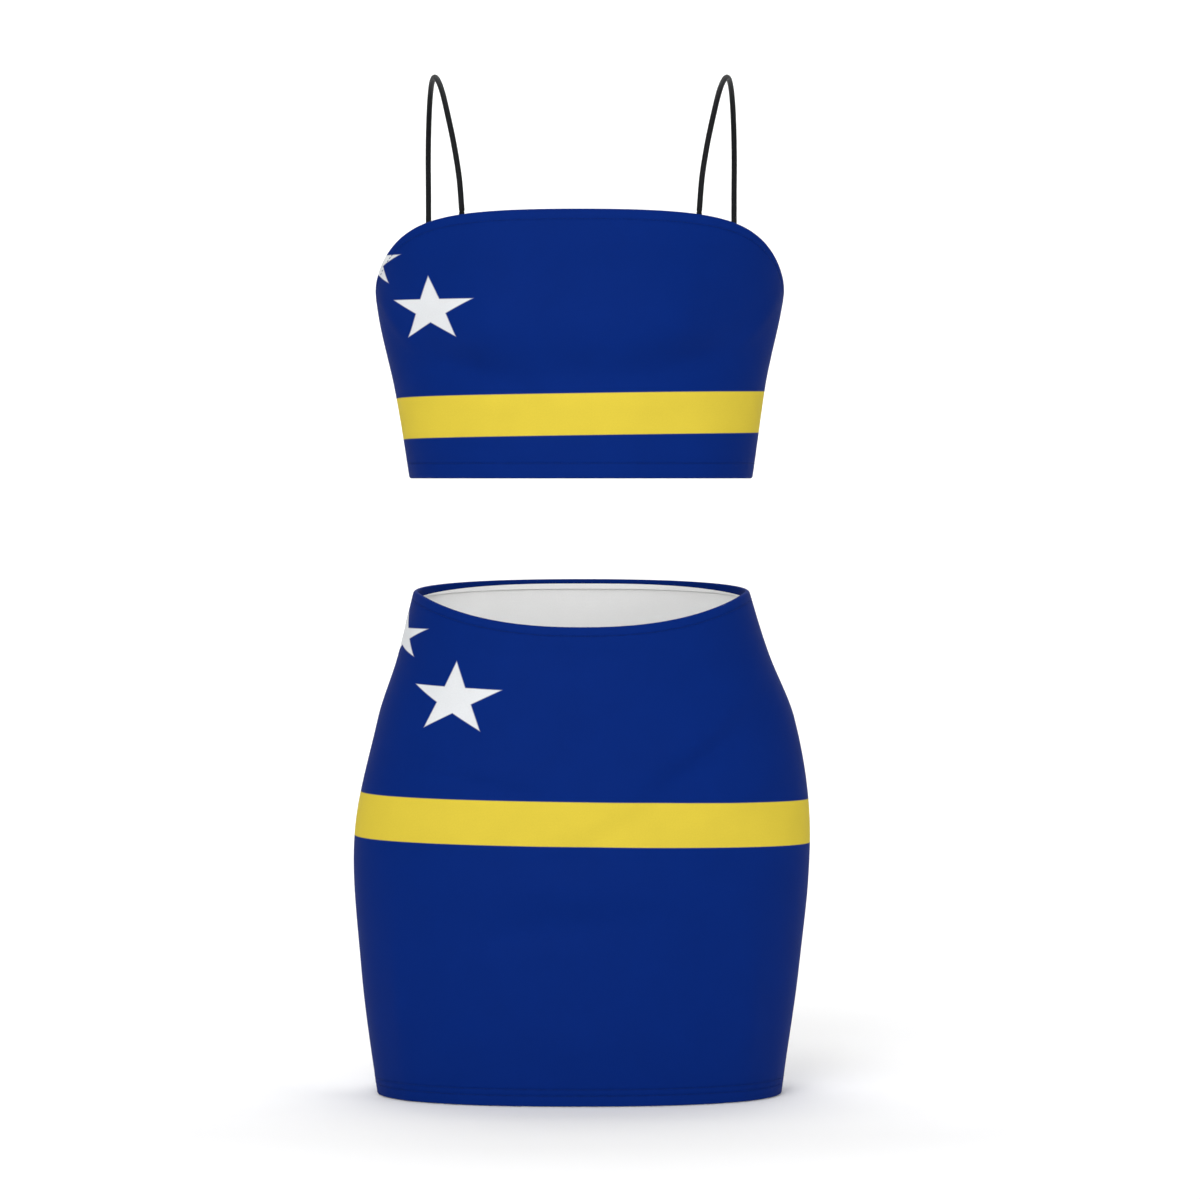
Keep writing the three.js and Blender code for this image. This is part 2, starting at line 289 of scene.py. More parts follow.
# Each fold is (girth, height, half length, half width, slope, height of the ridge).
skirt_folds = {
    FRONT: [
        (-88, 262, 50, 4.5, -0.16, 2.4),
        (-84, 252, 54, 6.0, -0.14, -2.2),
        (96, 288, 66, 11.0, 0.55, 3.4),
        (74, 252, 76, 12.0, 0.60, -3.4),
        (112, 232, 56, 9.0, 0.42, 2.0),
        (22, 228, 60, 9.0, 0.35, 1.8),
        (20, 168, 120, 15.0, -0.05, 2.4),
        (-30, 138, 90, 13.0, 0.10, -2.2),
        (8, 352, 90, 8.0, 0.00, -1.5),
        (150, 70, 12, 60.0, 0.05, 1.4),
        (-158, 80, 12, 60.0, -0.04, 1.5),
        (0, 50, 60, 20.0, 0.00, 1.6),
    ],
    BEHIND: [
        (0, 294, 110, 13.0, 0.00, 2.4),
        (10, 266, 100, 13.0, 0.04, -2.0),
        (-70, 96, 70, 16.0, 0.45, 2.4),
        (80, 92, 70, 16.0, -0.45, 2.2),
        (0, 215, 26, 60.0, 0.00, -2.6),
        (0, 338, 90, 11.0, 0.02, 1.8),
    ],
}
top_folds = {
    FRONT: [
        (-98, 577, 46, 15.0, -0.16, -7.0),
        (-86, 552, 54, 9.0, -0.12, 1.8),
        (94, 582, 50, 15.0, 0.14, -7.0),
        (86, 556, 54, 9.0, 0.12, 1.8),
        (0, 574, 40, 14.0, 0.00, -2.4),
        (166, 614, 30, 7.0, 0.75, 1.7),
        (-168, 612, 30, 7.0, -0.75, 1.6),
        (0, 672, 70, 10.0, 0.00, -1.3),
        (-30, 516, 70, 4.5, 0.02, 0.9),
    ],
    BEHIND: [
        (0, 642, 90, 14.0, 0.05, 2.2),
        (0, 612, 100, 14.0, 0.00, -1.9),
        (-30, 560, 80, 11.0, -0.08, 1.9),
        (60, 590, 60, 10.0, 0.25, 1.7),
    ],
}
skirt = Garment(skirt_stations, skirt_rim, 0, lambda x, z: 0.0, skirt_drag, 200, skirt_folds)
top = Garment(top_stations, top_rim, TOP_HEM, bust_lift, top_drag, 620, top_folds)
for garment_name, garment in (("skirt", skirt), ("top", top)):
    spans = [round(2 * garment.tables[side][1][0]) for side in (FRONT, BEHIND)]
    print(garment_name, "front and back girth:", spans, "mm")


# %% [markdown]
# ## The straps
# Each strap is one soft black cord, rolled and stitched into the top at both ends. It stands in
# a loop where the shoulder would be. It could be a curve with a bevel, but a tube swept along its
# route in code has its own map, so that the fine ribs of the cord follow every bend. The route is
# the one of the CAD solid. Both ends lie on the line that the strap turns about.

# %% The strap's route
CORD_DIAMETER = 4.5
FRONT_END = (93.0, -81.11, 701.25)
BACK_END = (124.0, 66.21, 686.83)
# Each point is (x, y, height above the upper edge of the front).
strap_route = [
    (95, -84, 25),
    (99, -85, 50.5),
    (104, -78, 74),
    (109, -60, 94),
    (114, -34, 106),
    (118, -4, 108),
    (121, 26, 99),
    (123, 49, 79),
    (124, 61, 50.5),
    (124, 66, 18.5),
]


def smooth_route(points, steps):
    """A smooth line through the points, each stretch in the given number of steps."""
    points = [Vector(p) for p in points]
    points = [points[0] * 2 - points[1]] + points + [points[-1] * 2 - points[-2]]
    line = []
    for p0, p1, p2, p3 in zip(points, points[1:], points[2:], points[3:]):
        t1 = (p1 - p0).length ** 0.5
        t2 = t1 + (p2 - p1).length ** 0.5
        t3 = t2 + (p3 - p2).length ** 0.5
        for step in range(steps):
            t = mix(t1, t2, step / steps)
            a1 = p0.lerp(p1, t / t1)
            a2 = p1.lerp(p2, (t - t1) / (t2 - t1))
            a3 = p2.lerp(p3, (t - t2) / (t3 - t2))
            b1 = a1.lerp(a2, t / t2)
            b2 = a2.lerp(a3, (t - t1) / (t3 - t1))
            line.append(b1.lerp(b2, (t - t1) / (t2 - t1)))
    return line + [points[-2]]


def strap_line(side):
    route = [(x, y, TOP_HEM + TOP_HEIGHT + rise) for x, y, rise in strap_route]
    points = [FRONT_END, *route, BACK_END]
    return smooth_route([(side * x * MM, y * MM, z * MM) for x, y, z in points], 12)


# %% Selecting, shading and making a mesh
def select_only(*pieces):
    """Selects these pieces and nothing else. The last one is active."""
    bpy.ops.object.select_all(action="DESELECT")
    for piece in pieces:
        piece.select_set(True)
        bpy.context.view_layer.objects.active = piece


def finished(piece, crease=50):
    """Smooth shading that keeps real edges sharp."""
    select_only(piece)
    bpy.ops.object.shade_smooth_by_angle(angle=math.radians(crease))
    return piece


def mesh_piece(name, points, faces, map_points=None):
    """A new piece from points and faces in metres, with its own map where one is given."""
    mesh = bpy.data.meshes.new(name)
    mesh.from_pydata([tuple(p) for p in points], [], faces)
    if map_points:
        cut = mesh.uv_layers.new(name="Cut")
        for corner, at in zip(cut.data, map_points):
            corner.uv = at
    mesh.validate()
    piece = bpy.data.objects.new(name, mesh)
    bpy.context.scene.collection.objects.link(piece)
    return piece


# %% A soft cord along a line
BALL_SHARES = [0.02, 0.35, 0.7, 0.92]  # radii of the rings of a half ball, from its tip


def soft_cord(name, line, diameter, sides=16):
    """A round tube along the line, closed by a half ball at each end."""
    radius = diameter / 2
    rings = []  # centre, direction, radius and distance along
    start = (line[1] - line[0]).normalized()
    end = (line[-1] - line[-2]).normalized()
    travelled = 0.0
    for share in BALL_SHARES:
        reach = radius * math.sqrt(1 - share**2)
        rings.append((line[0] - start * reach, start, radius * share, 0.0))
    for i, point in enumerate(line):
        ahead = line[min(i + 1, len(line) - 1)] - line[max(i - 1, 0)]
        if i:
            travelled += (point - line[i - 1]).length
        rings.append((point, ahead.normalized(), radius, travelled))
    for share in reversed(BALL_SHARES):
        reach = radius * math.sqrt(1 - share**2)
        rings.append((line[-1] + end * reach, end, radius * share, travelled))
    points = []
    across = rings[0][1].cross(Vector((0.3, 1, 0))).normalized()
    for centre, direction, size, _ in rings:
        across = (across - direction * across.dot(direction)).normalized()
        upright = direction.cross(across)
        for k in range(sides):
            turn = 2 * math.pi * k / sides
            points.append(centre + (across * math.cos(turn) + upright * math.sin(turn)) * size)
    faces = []
    map_points = []
    for i in range(len(rings) - 1):
        low = rings[i][3]
        high = rings[i + 1][3]
        for k in range(sides):
            here = i * sides + k
            after = i * sides + (k + 1) % sides
            faces.append((here, after, after + sides, here + sides))
            left = k / sides * math.pi * diameter
            right = (k + 1) / sides * math.pi * diameter
            map_points += [(left, low), (right, low), (right, high), (left, high)]
    last = (len(rings) - 1) * sides
    faces.append(tuple(reversed(range(sides))))
    faces.append(tuple(range(last, last + sides)))
    map_points += [(0, 0)] * sides + [(0, travelled)] * sides
    return finished(mesh_piece(name, points, faces, map_points))


# %% The two straps
SIDES = (("left", 1), ("right", -1))
straps = []
for side_name, side in SIDES:
    line = strap_line(side)
    strap = soft_cord(f"{side_name}_shoulder_strap_cord", line, CORD_DIAMETER * MM)
    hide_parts(f"{side_name}_strap")
    # The strap turns about the line through its two ends, so it bends in its first millimetres.
    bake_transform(strap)
    straps.append(strap)
print("straps:", [(s.name, len(s.data.polygons)) for s in straps])

# %% [markdown]
# ## How the cloth is cut and turned
# Each half of a garment is one sheet of knit, 0.8 mm thick. Its edge is turned in over an elastic,
# and its hem is folded up inside. So the sheet is followed from the free edge inside the casing,
# over the fold, down the outside and up again inside the hem. A line of this kind is a row of
# points (depth under the surface, height), and it is the same all round apart from the height of
# the rim. The print follows the cut, so the map of the cloth is measured in metres on the surface.

# %% Sections of the cloth
CLOTH = 0.8  # thickness of the knit
CASING_DEPTH = 3.6  # printed face to printed face, over an elastic
HEM_DEPTH = 1.8  # and over a plain fold
WAIST_CASING = 7
SKIRT_HEM = 14
TOP_CASING = 8
TOP_HEM_CASING = 12
SKIRT_STITCHES = (13.4, 8.4)  # heights of the two rows at the hem
TOP_STITCHES = (TOP_HEM + TOP_HEM_CASING,)
UNDER_STITCHES = 1.0  # the turned edge reaches this far past the stitches that hold it
GROOVE = [-2.4, -1.3, -0.7, -0.3, 0.0, 0.3, 0.7, 1.3, 2.4]  # rows close to a line of stitches
NEAR_STITCHES = 4  # the even rows begin this far from the stitches
PRINT_PAST_FOLD = (3.7, 7.4)  # where the print stops inside a casing: at the middle, at the sides
UNPRINTED_ROWS = 2


def fold_over(edge, depth, direction, steps=8):
    """Half a circle over an edge, from the inner ply to the outer one."""
    radius = depth / 2
    points = []
    for k in range(steps + 1):
        turn = math.pi * k / steps
        inset = radius + radius * math.cos(turn)
        points.append((inset, edge + direction * radius * (math.sin(turn) - 1)))
    return points


def span(low, high, count):
    """Even steps from low to high, without the two ends."""
    return [mix(low, high, k / (count + 1)) for k in range(1, count + 1)]


def turned_edge(angle, rim, casing):
    """Rows of the turned edge from its free edge to the fold, with one where the print stops."""
    free_edge = rim - casing - UNDER_STITCHES
    print_end = rim - mix(*PRINT_PAST_FOLD, abs(math.cos(angle)) ** 3)
    heights = [free_edge, mix(free_edge, print_end, 0.5), print_end]
    heights += span(print_end, rim - CASING_DEPTH / 2, 2)
    return [(CASING_DEPTH, z) for z in heights]


def outside_rows(top_edge, bottom_edge, upper_stitch, lower_stitches, count):
    """Heights down the outside: closer together along the stitches, even in between."""
    high = upper_stitch - NEAR_STITCHES
    low = max(lower_stitches) + NEAR_STITCHES
    rows = [upper_stitch - step for step in GROOVE]
    rows = span(top_edge, rows[0], 2) + rows
    rows += [high, *span(high, low, count), low]
    for stitch in lower_stitches:
        rows += [stitch - step for step in GROOVE if stitch - step < rows[-1] - 0.1]
    return rows + span(rows[-1], bottom_edge, 3)


def section_of(garment, casing, stitches, rows, hem_depth, hem_end, hem_steps):
    """A function that gives (depth, height) all along the cloth at an angle."""
    hem_fold = garment.hem + hem_depth / 2

    def section(angle):
        rim = garment.rim(angle)
        fold = rim - CASING_DEPTH / 2
        outside = outside_rows(fold, hem_fold, rim - casing, stitches, rows)
        return [
            *turned_edge(angle, rim, casing),
            *fold_over(rim, CASING_DEPTH, 1),
            *[(0.0, z) for z in outside],
            *reversed(fold_over(garment.hem, hem_depth, -1, hem_steps)),
            *[(hem_depth, z) for z in [*span(hem_fold, hem_end, 5), hem_end]],
        ]

    return section


top_hem_end = TOP_HEM + TOP_HEM_CASING + UNDER_STITCHES
skirt_section = section_of(skirt, WAIST_CASING, SKIRT_STITCHES, 62, HEM_DEPTH, SKIRT_HEM, 6)
top_section = section_of(top, TOP_CASING, TOP_STITCHES, 34, CASING_DEPTH, top_hem_end, 8)
print("rows in a skirt sheet:", len(skirt_section(1.0)), "in a top sheet:", len(top_section(1.0)))


# %% [markdown]
# ## The side seams
# At a side seam the two sheets turn inwards face to face, and their edges lie together towards the
# back, where an overlock stitch wraps them. From outside a seam is a thin groove between two rounded
# edges. The columns past the seam follow this turn: (distance behind the seam, depth).

# %% Columns past a side seam
TURN = 0.9  # radius that the knit takes when it turns inwards
ALLOWANCE = 7.0  # how far the edges lie towards the back
CLOSED = 0.1  # half of the slit between the two sheets
CASING_SLIT = 0.03  # and in a casing, where they are pressed together
QUARTER = [math.radians(angle) for angle in (0, 30, 60, 90)]


def turned_to_back(depth, slit, reach, turn=TURN):
    """The front sheet turns in, and then back towards the rear over the other one."""
    columns = [(-slit - turn + turn * math.sin(t), turn - turn * math.cos(t)) for t in QUARTER]
    columns += [(-slit, depth - 0.35), (-slit + 0.1, depth - 0.1), (-slit + 0.4, depth)]
    return columns + [(y, depth) for y in (2.2, 3.8, 5.4, reach)]


def turned_under(depth, slit, reach, turn=TURN):
    """The back sheet turns in and lies folded against itself."""
    columns = [(slit + turn - turn * math.sin(t), turn - turn * math.cos(t)) for t in QUARTER]
    for t in QUARTER[1:]:
        columns.append((slit + turn - turn * math.cos(t), depth - turn + turn * math.sin(t)))
    return columns + [(y, depth) for y in (2.6, 4.0, 5.4, reach)]


def short_turn(face, slit, turn=0.5):
    """In a casing the edges are only turned in: as many columns as the full turn has."""
    columns = []
    for t in QUARTER:
        away = slit + turn - turn * math.sin(t)
        columns.append((-face * away, turn - turn * math.cos(t)))
    return columns + [(-face * slit, turn + 0.05 * k) for k in range(1, 8)]


print("columns past a seam:", len(turned_to_back(2, 0.1, 7)), len(short_turn(FRONT, 0.1)))


# %% [markdown]
# ## A sheet of cloth
# The sheet starts as a flat grid, as cloth does, and each corner of the grid is then put in its
# place on the garment, in the way that a tailor drapes cloth on a form. Solidify gives the knit its
# thickness, with the printed face outside and the white yarn on its reverse and its cut edges.

# %% Make a sheet and put it in place
def primitive(add, name, **size):
    """A new primitive with nothing else selected, named with its mesh."""
    bpy.ops.object.select_all(action="DESELECT")
    add(**size)
    piece = bpy.context.object
    piece.name = name
    piece.data.name = name
    return piece


def flat_grid(name, rows, columns):
    """A flat grid with a map of its own, ready to be draped."""
    add = bpy.ops.mesh.primitive_grid_add
    grid = primitive(add, name, x_subdivisions=columns - 1, y_subdivisions=rows - 1, size=1)
    grid.data.uv_layers[0].name = "Cut"
    return grid


def drape(grid, places, cuts):
    """Moves every corner of the grid to its place, and writes its place on the flat cut."""
    flat = [p for row in places for p in row]
    grid.data.vertices.foreach_set("co", (np.array(flat) * MM).ravel())
    cut_flat = np.array([c for row in cuts for c in row]) * MM
    loops = np.zeros(len(grid.data.loops), int)
    grid.data.loops.foreach_get("vertex_index", loops)
    grid.data.uv_layers["Cut"].data.foreach_set("uv", cut_flat[loops].ravel())
    grid.data.update()
    return grid


def solidified(piece, thickness, reverse_slot=0):
    """Gives a sheet its thickness under its face, and finishes the mesh."""
    select_only(piece)
    thick = piece.modifiers.new("thickness", "SOLIDIFY")
    thick.thickness = thickness * MM
    thick.offset = -1
    thick.use_even_offset = False
    thick.material_offset = reverse_slot
    thick.material_offset_rim = reverse_slot
    bpy.ops.object.modifier_apply(modifier=thick.name)
    return finished(piece, 55)


# %% The pull of the stitches and of the seams
GROOVE_DEPTH = 0.28
PUCKER = 0.13  # height of the small waves along a line of stitches
SEAM_FADE = 8  # a seam opens out over this length below a casing


def stitch_lines(garment, angle):
    """Heights of the rows of stitches that go round a garment, from the top."""
    rim = garment.rim(angle)
    if garment is skirt:
        return (rim - WAIST_CASING, *SKIRT_STITCHES)
    return (rim - TOP_CASING, *TOP_STITCHES)


def stitch_groove(garment, angle, z, depth):
    """The stitches pull the outer ply in, and it puckers a little along them."""
    if depth > 0.01:
        return 0.0
    _, girth = garment.girth_at(angle)
    pull = 0.0
    for line in stitch_lines(garment, angle):
        waves = math.sin(girth / 2.1 + 2.0 * math.sin(girth / 17.0))
        pull += bell(z - line, 0.9) * GROOVE_DEPTH
        pull += bell(z - line, 5.0) * PUCKER * waves
    return pull


def in_the_field(garment, angle, z, depth):
    """1 on the open cloth, where the seam is turned fully, and 0 at the casings and hems."""
    if depth > 0.01:
        return 0.0
    lines = stitch_lines(garment, angle)
    t = max(0.0, min(1.0, (lines[0] - z) / SEAM_FADE, (z - lines[1]) / SEAM_FADE))
    return t * t * (3 - 2 * t)


print("stitches at the side of the skirt:", stitch_lines(skirt, 0.0), "mm")


# %% One row of a sheet
def place_row(garment, face, angles, section_row, full, short, base):
    """The points of one row of a sheet, from the right seam's turned edge to the left one's."""
    points = []
    for side_seam in (-1, 1):
        seam_angle = 0.0 if side_seam > 0 else math.pi
        depth, z, reverse = section_row(seam_angle)
        share = in_the_field(garment, seam_angle, z, depth)
        columns = []
        for (y_full, d_full), (y_short, d_short) in zip(full, short):
            y = mix(y_short, y_full, share)
            d = mix(d_short, d_full, share)
            inset = base + depth + reverse[0] * d
            x, _, _ = garment.at(face * seam_angle, z, inset)
            columns.append((x, y, z + reverse[1] * d))
        if side_seam < 0:
            points += list(reversed(columns))
            points += [wall_point(garment, angle, section_row, base) for angle in angles]
        else:
            points += columns
    return points


def wall_point(garment, angle, section_row, base):
    depth, z, _ = section_row(angle)
    groove = stitch_groove(garment, angle, z, depth)
    return garment.at(angle, z, base + depth + groove)


# %% The section at every angle, and the flat cut
def section_table(section_at, angles):
    """For each row of the section a function that gives its depth, height and reverse side."""
    known = {}

    def section(angle):
        key = round(angle, 6)
        if key not in known:
            known[key] = section_at(angle)
        return known[key]

    def row_at(i):
        def at(angle):
            points = section(angle)
            before = points[max(i - 1, 0)]
            after = points[min(i + 1, len(points) - 1)]
            run = (after[0] - before[0], after[1] - before[1])
            length = math.hypot(*run) or 1.0
            # The path runs down the outside, so its reverse side lies to its left.
            reverse = (-run[1] / length, run[0] / length)
            return (*points[i], reverse)

        return at

    return [row_at(i) for i in range(len(section(angles[0])))]


def cut_rows(places, heights):
    """The place of each corner on the flat cut: distance from the middle, and height."""
    cuts = []
    for row, z_row in zip(places, heights):
        line = np.array(row)
        steps = np.linalg.norm(np.diff(line, axis=0), axis=1)
        girth = np.concatenate(([0], np.cumsum(steps)))
        middle = girth[len(row) // 2]
        cuts.append([(g - middle, z) for g, z in zip(girth, z_row)])
    return cuts


def unrolled_heights(section):
    """Height on the flat cut: as it is on the outside, and unrolled past both folds."""
    outside = [i for i, (depth, _) in enumerate(section) if depth < 1e-6]
    first = outside[0]
    last = outside[-1]
    heights = [z for _, z in section]
    unrolled = list(heights)
    for i in range(first - 1, -1, -1):
        run = math.dist(section[i], section[i + 1])
        unrolled[i] = unrolled[i + 1] + run
    for i in range(last + 1, len(section)):
        run = math.dist(section[i], section[i - 1])
        unrolled[i] = unrolled[i - 1] - run
    return unrolled


side_cut = unrolled_heights(skirt_section(0.0))
print("length of the skirt's cut at its side:", round(side_cut[0] - side_cut[-1], 1), "mm")

# %% Half a garment in one sheet
COLUMNS = 111  # across one half of a garment, about 4 mm apart
CLEAR_OF_TURN = 0.35  # the last of them stays this far from the seam's turn
REVERSE_SLOT = 1  # the printed face is slot 0


def panel(name, garment, face, section_at, full, short, base=0.0, unprinted_rows=0):
    """Half a garment in one sheet, which lies at the depth base under the surface."""
    half_girth = garment.tables[face][1][0]
    edge = 1 - (abs(full[0][0]) + CLEAR_OF_TURN) / half_girth
    shares = [mix(-edge, edge, k / (COLUMNS - 1)) for k in range(COLUMNS)]
    angles = [garment.angle_at(face, share) for share in shares]
    rows = section_table(section_at, angles)
    places = [place_row(garment, face, angles, row, full, short, base) for row in rows]
    all_angles = [math.pi * face] * len(full) + angles + [0.0] * len(full)
    columns = [unrolled_heights(section_at(angle)) for angle in all_angles]
    heights = [[column[i] for column in columns] for i in range(len(rows))]
    sheet = flat_grid(name, len(rows), len(places[0]))
    drape(sheet, places, cut_rows(places, heights))
    for polygon in sheet.data.polygons:
        if min(polygon.vertices) // len(places[0]) < unprinted_rows:
            polygon.material_index = REVERSE_SLOT
    face_outwards(sheet, garment)
    return sheet


def face_outwards(sheet, garment):
    """Turns the sheet's faces so that the printed side looks away from the body."""
    centre = Vector((0, 0, (garment.hem + 100) * MM))
    normal_sum = 0.0
    for polygon in sheet.data.polygons:
        outward = polygon.center - centre
        outward.z = 0
        if abs(polygon.normal.z) < 0.5 and outward.length > 0.09:
            normal_sum += polygon.normal.dot(outward.normalized()) * polygon.area
    if normal_sum < 0:
        sheet.data.flip_normals()


# %% The four printed sheets
def side_turns(front_depth, back_depth):
    """The columns past a seam for each half, on the open cloth and in a casing."""
    return {
        FRONT: (turned_to_back(front_depth, CLOSED, ALLOWANCE), short_turn(FRONT, CASING_SLIT)),
        BEHIND: (turned_under(back_depth, CLOSED, ALLOWANCE), short_turn(BEHIND, CASING_SLIT)),
    }


# The edges lie deeper in the top, behind its lining: how deep, for the front and the back half.
GARMENTS = (
    ("skirt", skirt, skirt_section, side_turns(1.95, 1.8)),
    ("top", top, top_section, side_turns(3.55, 3.4)),
)
FACES = (("front", FRONT), ("back", BEHIND))
panels = {}
for body, garment, section, turns in GARMENTS:
    for face_name, face in FACES:
        key = f"{body}_{face_name}"
        sheet = panel(
            f"{key}_sheet",
            garment,
            face,
            section,
            *turns[face],
            unprinted_rows=UNPRINTED_ROWS,
        )
        area = sum(p.area for p in sheet.data.polygons)
        print(key, len(sheet.data.polygons), "faces,", round(area, 4), "square metres")
        panels[key] = sheet


# %% [markdown]
# ## The lining of the top
# The top is lined with a second layer of the white knit, so that it isn't seen through. Each half is
# one plain sheet behind the printed one, caught in the stitches of both casings and in the side
# seams. It is made as the printed sheets are, a little deeper.

# %% Lining sheets
LINING = 0.6
LINING_DEPTH = 1.1
LINING_TURN = 0.65
LINING_CASING_TURN = 0.4


def lining_section(angle):
    """The lining reaches just over the stitches of both casings."""
    high = top.rim(angle) - TOP_CASING + 0.6
    low = TOP_HEM + TOP_HEM_CASING - 0.8
    return [(0.0, z) for z in [high, *span(high, low, 34), low]]


lining_slit = CLOSED + CLOTH + 0.1
lining_turns = {
    FRONT: turned_to_back(4.4 - LINING_DEPTH, lining_slit, ALLOWANCE, LINING_TURN),
    BEHIND: turned_under(1.3, lining_slit, ALLOWANCE, LINING_TURN),
}
linings = {}
for face_name, face in FACES:
    node = f"top_{face_name}_lining"
    short = short_turn(face, lining_slit, LINING_CASING_TURN)
    full = lining_turns[face]
    linings[node] = panel(f"{node}_sheet", top, face, lining_section, full, short, LINING_DEPTH)
print("lining:", [sheet.name for sheet in linings.values()])

# %% [markdown]
# ## The flat cut of each sheet
# A pattern cutter needs the sheets as they lie on the table. Their flat sizes are measured on the
# map, which is the cut unrolled: the widest row, the length with both turned edges, and the area.

def flat_cut(sheet):
    """(width, length) and area of the cut in metres."""
    corners = [tuple(c.uv) for c in sheet.data.uv_layers["Cut"].data]
    width = max(u for u, _ in corners) - min(u for u, _ in corners)
    length = max(v for _, v in corners) - min(v for _, v in corners)
    area = sum(polygon.area for polygon in sheet.data.polygons)
    return (width, length), area


def stand_in(piece, body, cad_node):
    """The piece moves with the body and stands for the CAD node."""
    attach(piece, body)
    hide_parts(cad_node)
    return piece


def declared_sheet(sheet, thickness, cad_node, body, reverse_slot):
    flat, area = flat_cut(sheet)
    sheet.data.materials.append(None)
    sheet.data.materials.append(None)
    solidified(sheet, thickness, reverse_slot)
    stand_in(sheet, body, cad_node)
    size = " x ".join(str(round(side * 1000)) for side in flat)
    print(sheet.name, "cut:", size, "mm,", round(area, 4), "square metres")


for key, sheet in panels.items():
    body = key.split("_")[0]
    declared_sheet(sheet, CLOTH, f"{key}_panel", body, REVERSE_SLOT)
for cad_node, sheet in linings.items():
    declared_sheet(sheet, LINING, cad_node, "top", 0)

# %% [markdown]
# ## The elastics
# A flat woven elastic runs inside the waist of the skirt and inside both edges of the top. It lies
# loose in its casing. Each is a closed band, made from a grid whose two ends are joined.

# %% Elastic bands
ELASTIC = 1.0
ELASTIC_DEPTH = 1.3  # from the printed face, and from the fold, to the elastic
HEM_ELASTIC_WIDTH = 9.5
BAND_COLUMNS = 180
BAND_STEP = 4.2  # one column on the band's own map
BAND_ROWS = 5


def round_the_body(garment, count):
    """Angles at even distances all the way round, from the right seam over the front."""
    half = count // 2
    front = [garment.angle_at(FRONT, mix(-1, 1, k / half)) for k in range(half)]
    back = [garment.angle_at(BEHIND, mix(1, -1, k / half)) for k in range(half)]
    return front + back


def elastic_band(name, garment, top_edge, width):
    """A band whose upper edge is at top_edge(angle), between the two plies of a casing."""
    angles = round_the_body(garment, BAND_COLUMNS)
    angles.append(angles[0])
    places = []
    cuts = []
    for k in range(BAND_ROWS):
        drop = width * k / (BAND_ROWS - 1)
        places.append([garment.at(a, top_edge(a) - drop, ELASTIC_DEPTH) for a in angles])
        cuts.append([(BAND_STEP * i, -drop) for i in range(len(angles))])
    band = flat_grid(name, BAND_ROWS, len(angles))
    drape(band, places, cuts)
    face_outwards(band, garment)
    bpy.ops.object.mode_set(mode="EDIT")
    bpy.ops.mesh.select_all(action="SELECT")
    bpy.ops.mesh.remove_doubles(threshold=0.05 * MM)
    bpy.ops.object.mode_set(mode="OBJECT")
    return solidified(band, ELASTIC)


top_edges = {
    ("skirt", "waist"): (skirt, lambda a: skirt.rim(a) - ELASTIC_DEPTH, 5.0),
    ("top", "upper"): (top, lambda a: top.rim(a) - ELASTIC_DEPTH, 6.0),
    ("top", "hem"): (
        top,
        lambda a: TOP_HEM + ELASTIC_DEPTH + HEM_ELASTIC_WIDTH,
        HEM_ELASTIC_WIDTH,
    ),
}
elastics = []
for (body, edge), (garment, top_edge, width) in top_edges.items():
    band = elastic_band(f"{body}_{edge}_elastic_band", garment, top_edge, width)
    elastics.append(stand_in(band, body, f"{body}_{edge}_elastic"))
print("elastics:", [band.name for band in elastics])

# %% [markdown]
# ## The stitches
# The turned edges are held by rows of small straight stitches in blue thread, one row at each
# casing and two beside each other at the skirt's hem, from a machine with twin needles. One stitch
# is modelled from a sphere, drawn out so that its ends dive into the cloth, and then copied along.

# %% One stitch
THREAD = 0.5  # thickness of the sewing thread
STITCH = 3.0  # length of a stitch
STITCH_GAP = 0.75  # share of the length that shows on top
DIVE = 1.12  # a stitch is drawn longer by this much, so that its ends go into the cloth
STITCH_FACES = 48


def one_stitch(name, length, thickness):
    """A stitch along X, in millimetres, with rounded ends that turn down."""
    add = bpy.ops.mesh.primitive_uv_sphere_add
    stitch = primitive(add, name, segments=8, ring_count=6, radius=0.5)
    bpy.ops.object.mode_set(mode="EDIT")
    bpy.ops.mesh.select_all(action="SELECT")
    bpy.ops.transform.resize(value=(thickness, thickness, length))
    bpy.ops.object.mode_set(mode="OBJECT")
    for vertex in stitch.data.vertices:
        along = vertex.co.z
        sag = 0.35 * thickness * (2 * along / length) ** 2
        vertex.co = (along, vertex.co.y, vertex.co.x - sag)
    return stitch


print("length of a stitch as drawn:", round(STITCH * STITCH_GAP * DIVE, 2), "mm")


# %% Copies of a unit
def copies_of(unit, name, frames):
    """One piece that holds a copy of the unit at each frame. The unit is used up."""
    base = np.array([v.co for v in unit.data.vertices])
    polygons = [list(p.vertices) for p in unit.data.polygons]
    points = []
    faces = []
    for k, placed in enumerate(frames):
        turned = np.array(placed.to_3x3())
        points.append(base @ turned.T + np.array(placed.translation))
        faces += [[i + k * len(base) for i in polygon] for polygon in polygons]
    bpy.data.objects.remove(unit)
    return finished(mesh_piece(name, np.concatenate(points), faces), 80)


def frame_at(centre, across, through, up):
    """A frame in metres for a unit in millimetres, from its place and its three directions."""
    placed = (Matrix((across, through, up)).transposed() * MM).to_4x4()
    placed.translation = centre * MM
    return placed


def frame_between(start, end, outward):
    """A frame whose X runs from start to end, and whose Z points outward."""
    start = Vector(start)
    end = Vector(end)
    along = (end - start).normalized()
    side = Vector(outward).cross(along).normalized()
    return frame_at((start + end) / 2, along, side, along.cross(side))


def outward_at(garment, angle, z):
    """Away from the cloth, at a right angle to it."""
    across = Vector(garment.at(angle + 0.01, z)) - Vector(garment.at(angle - 0.01, z))
    upwards = Vector(garment.at(angle, z + 2)) - Vector(garment.at(angle, z - 2))
    return upwards.cross(across).normalized()


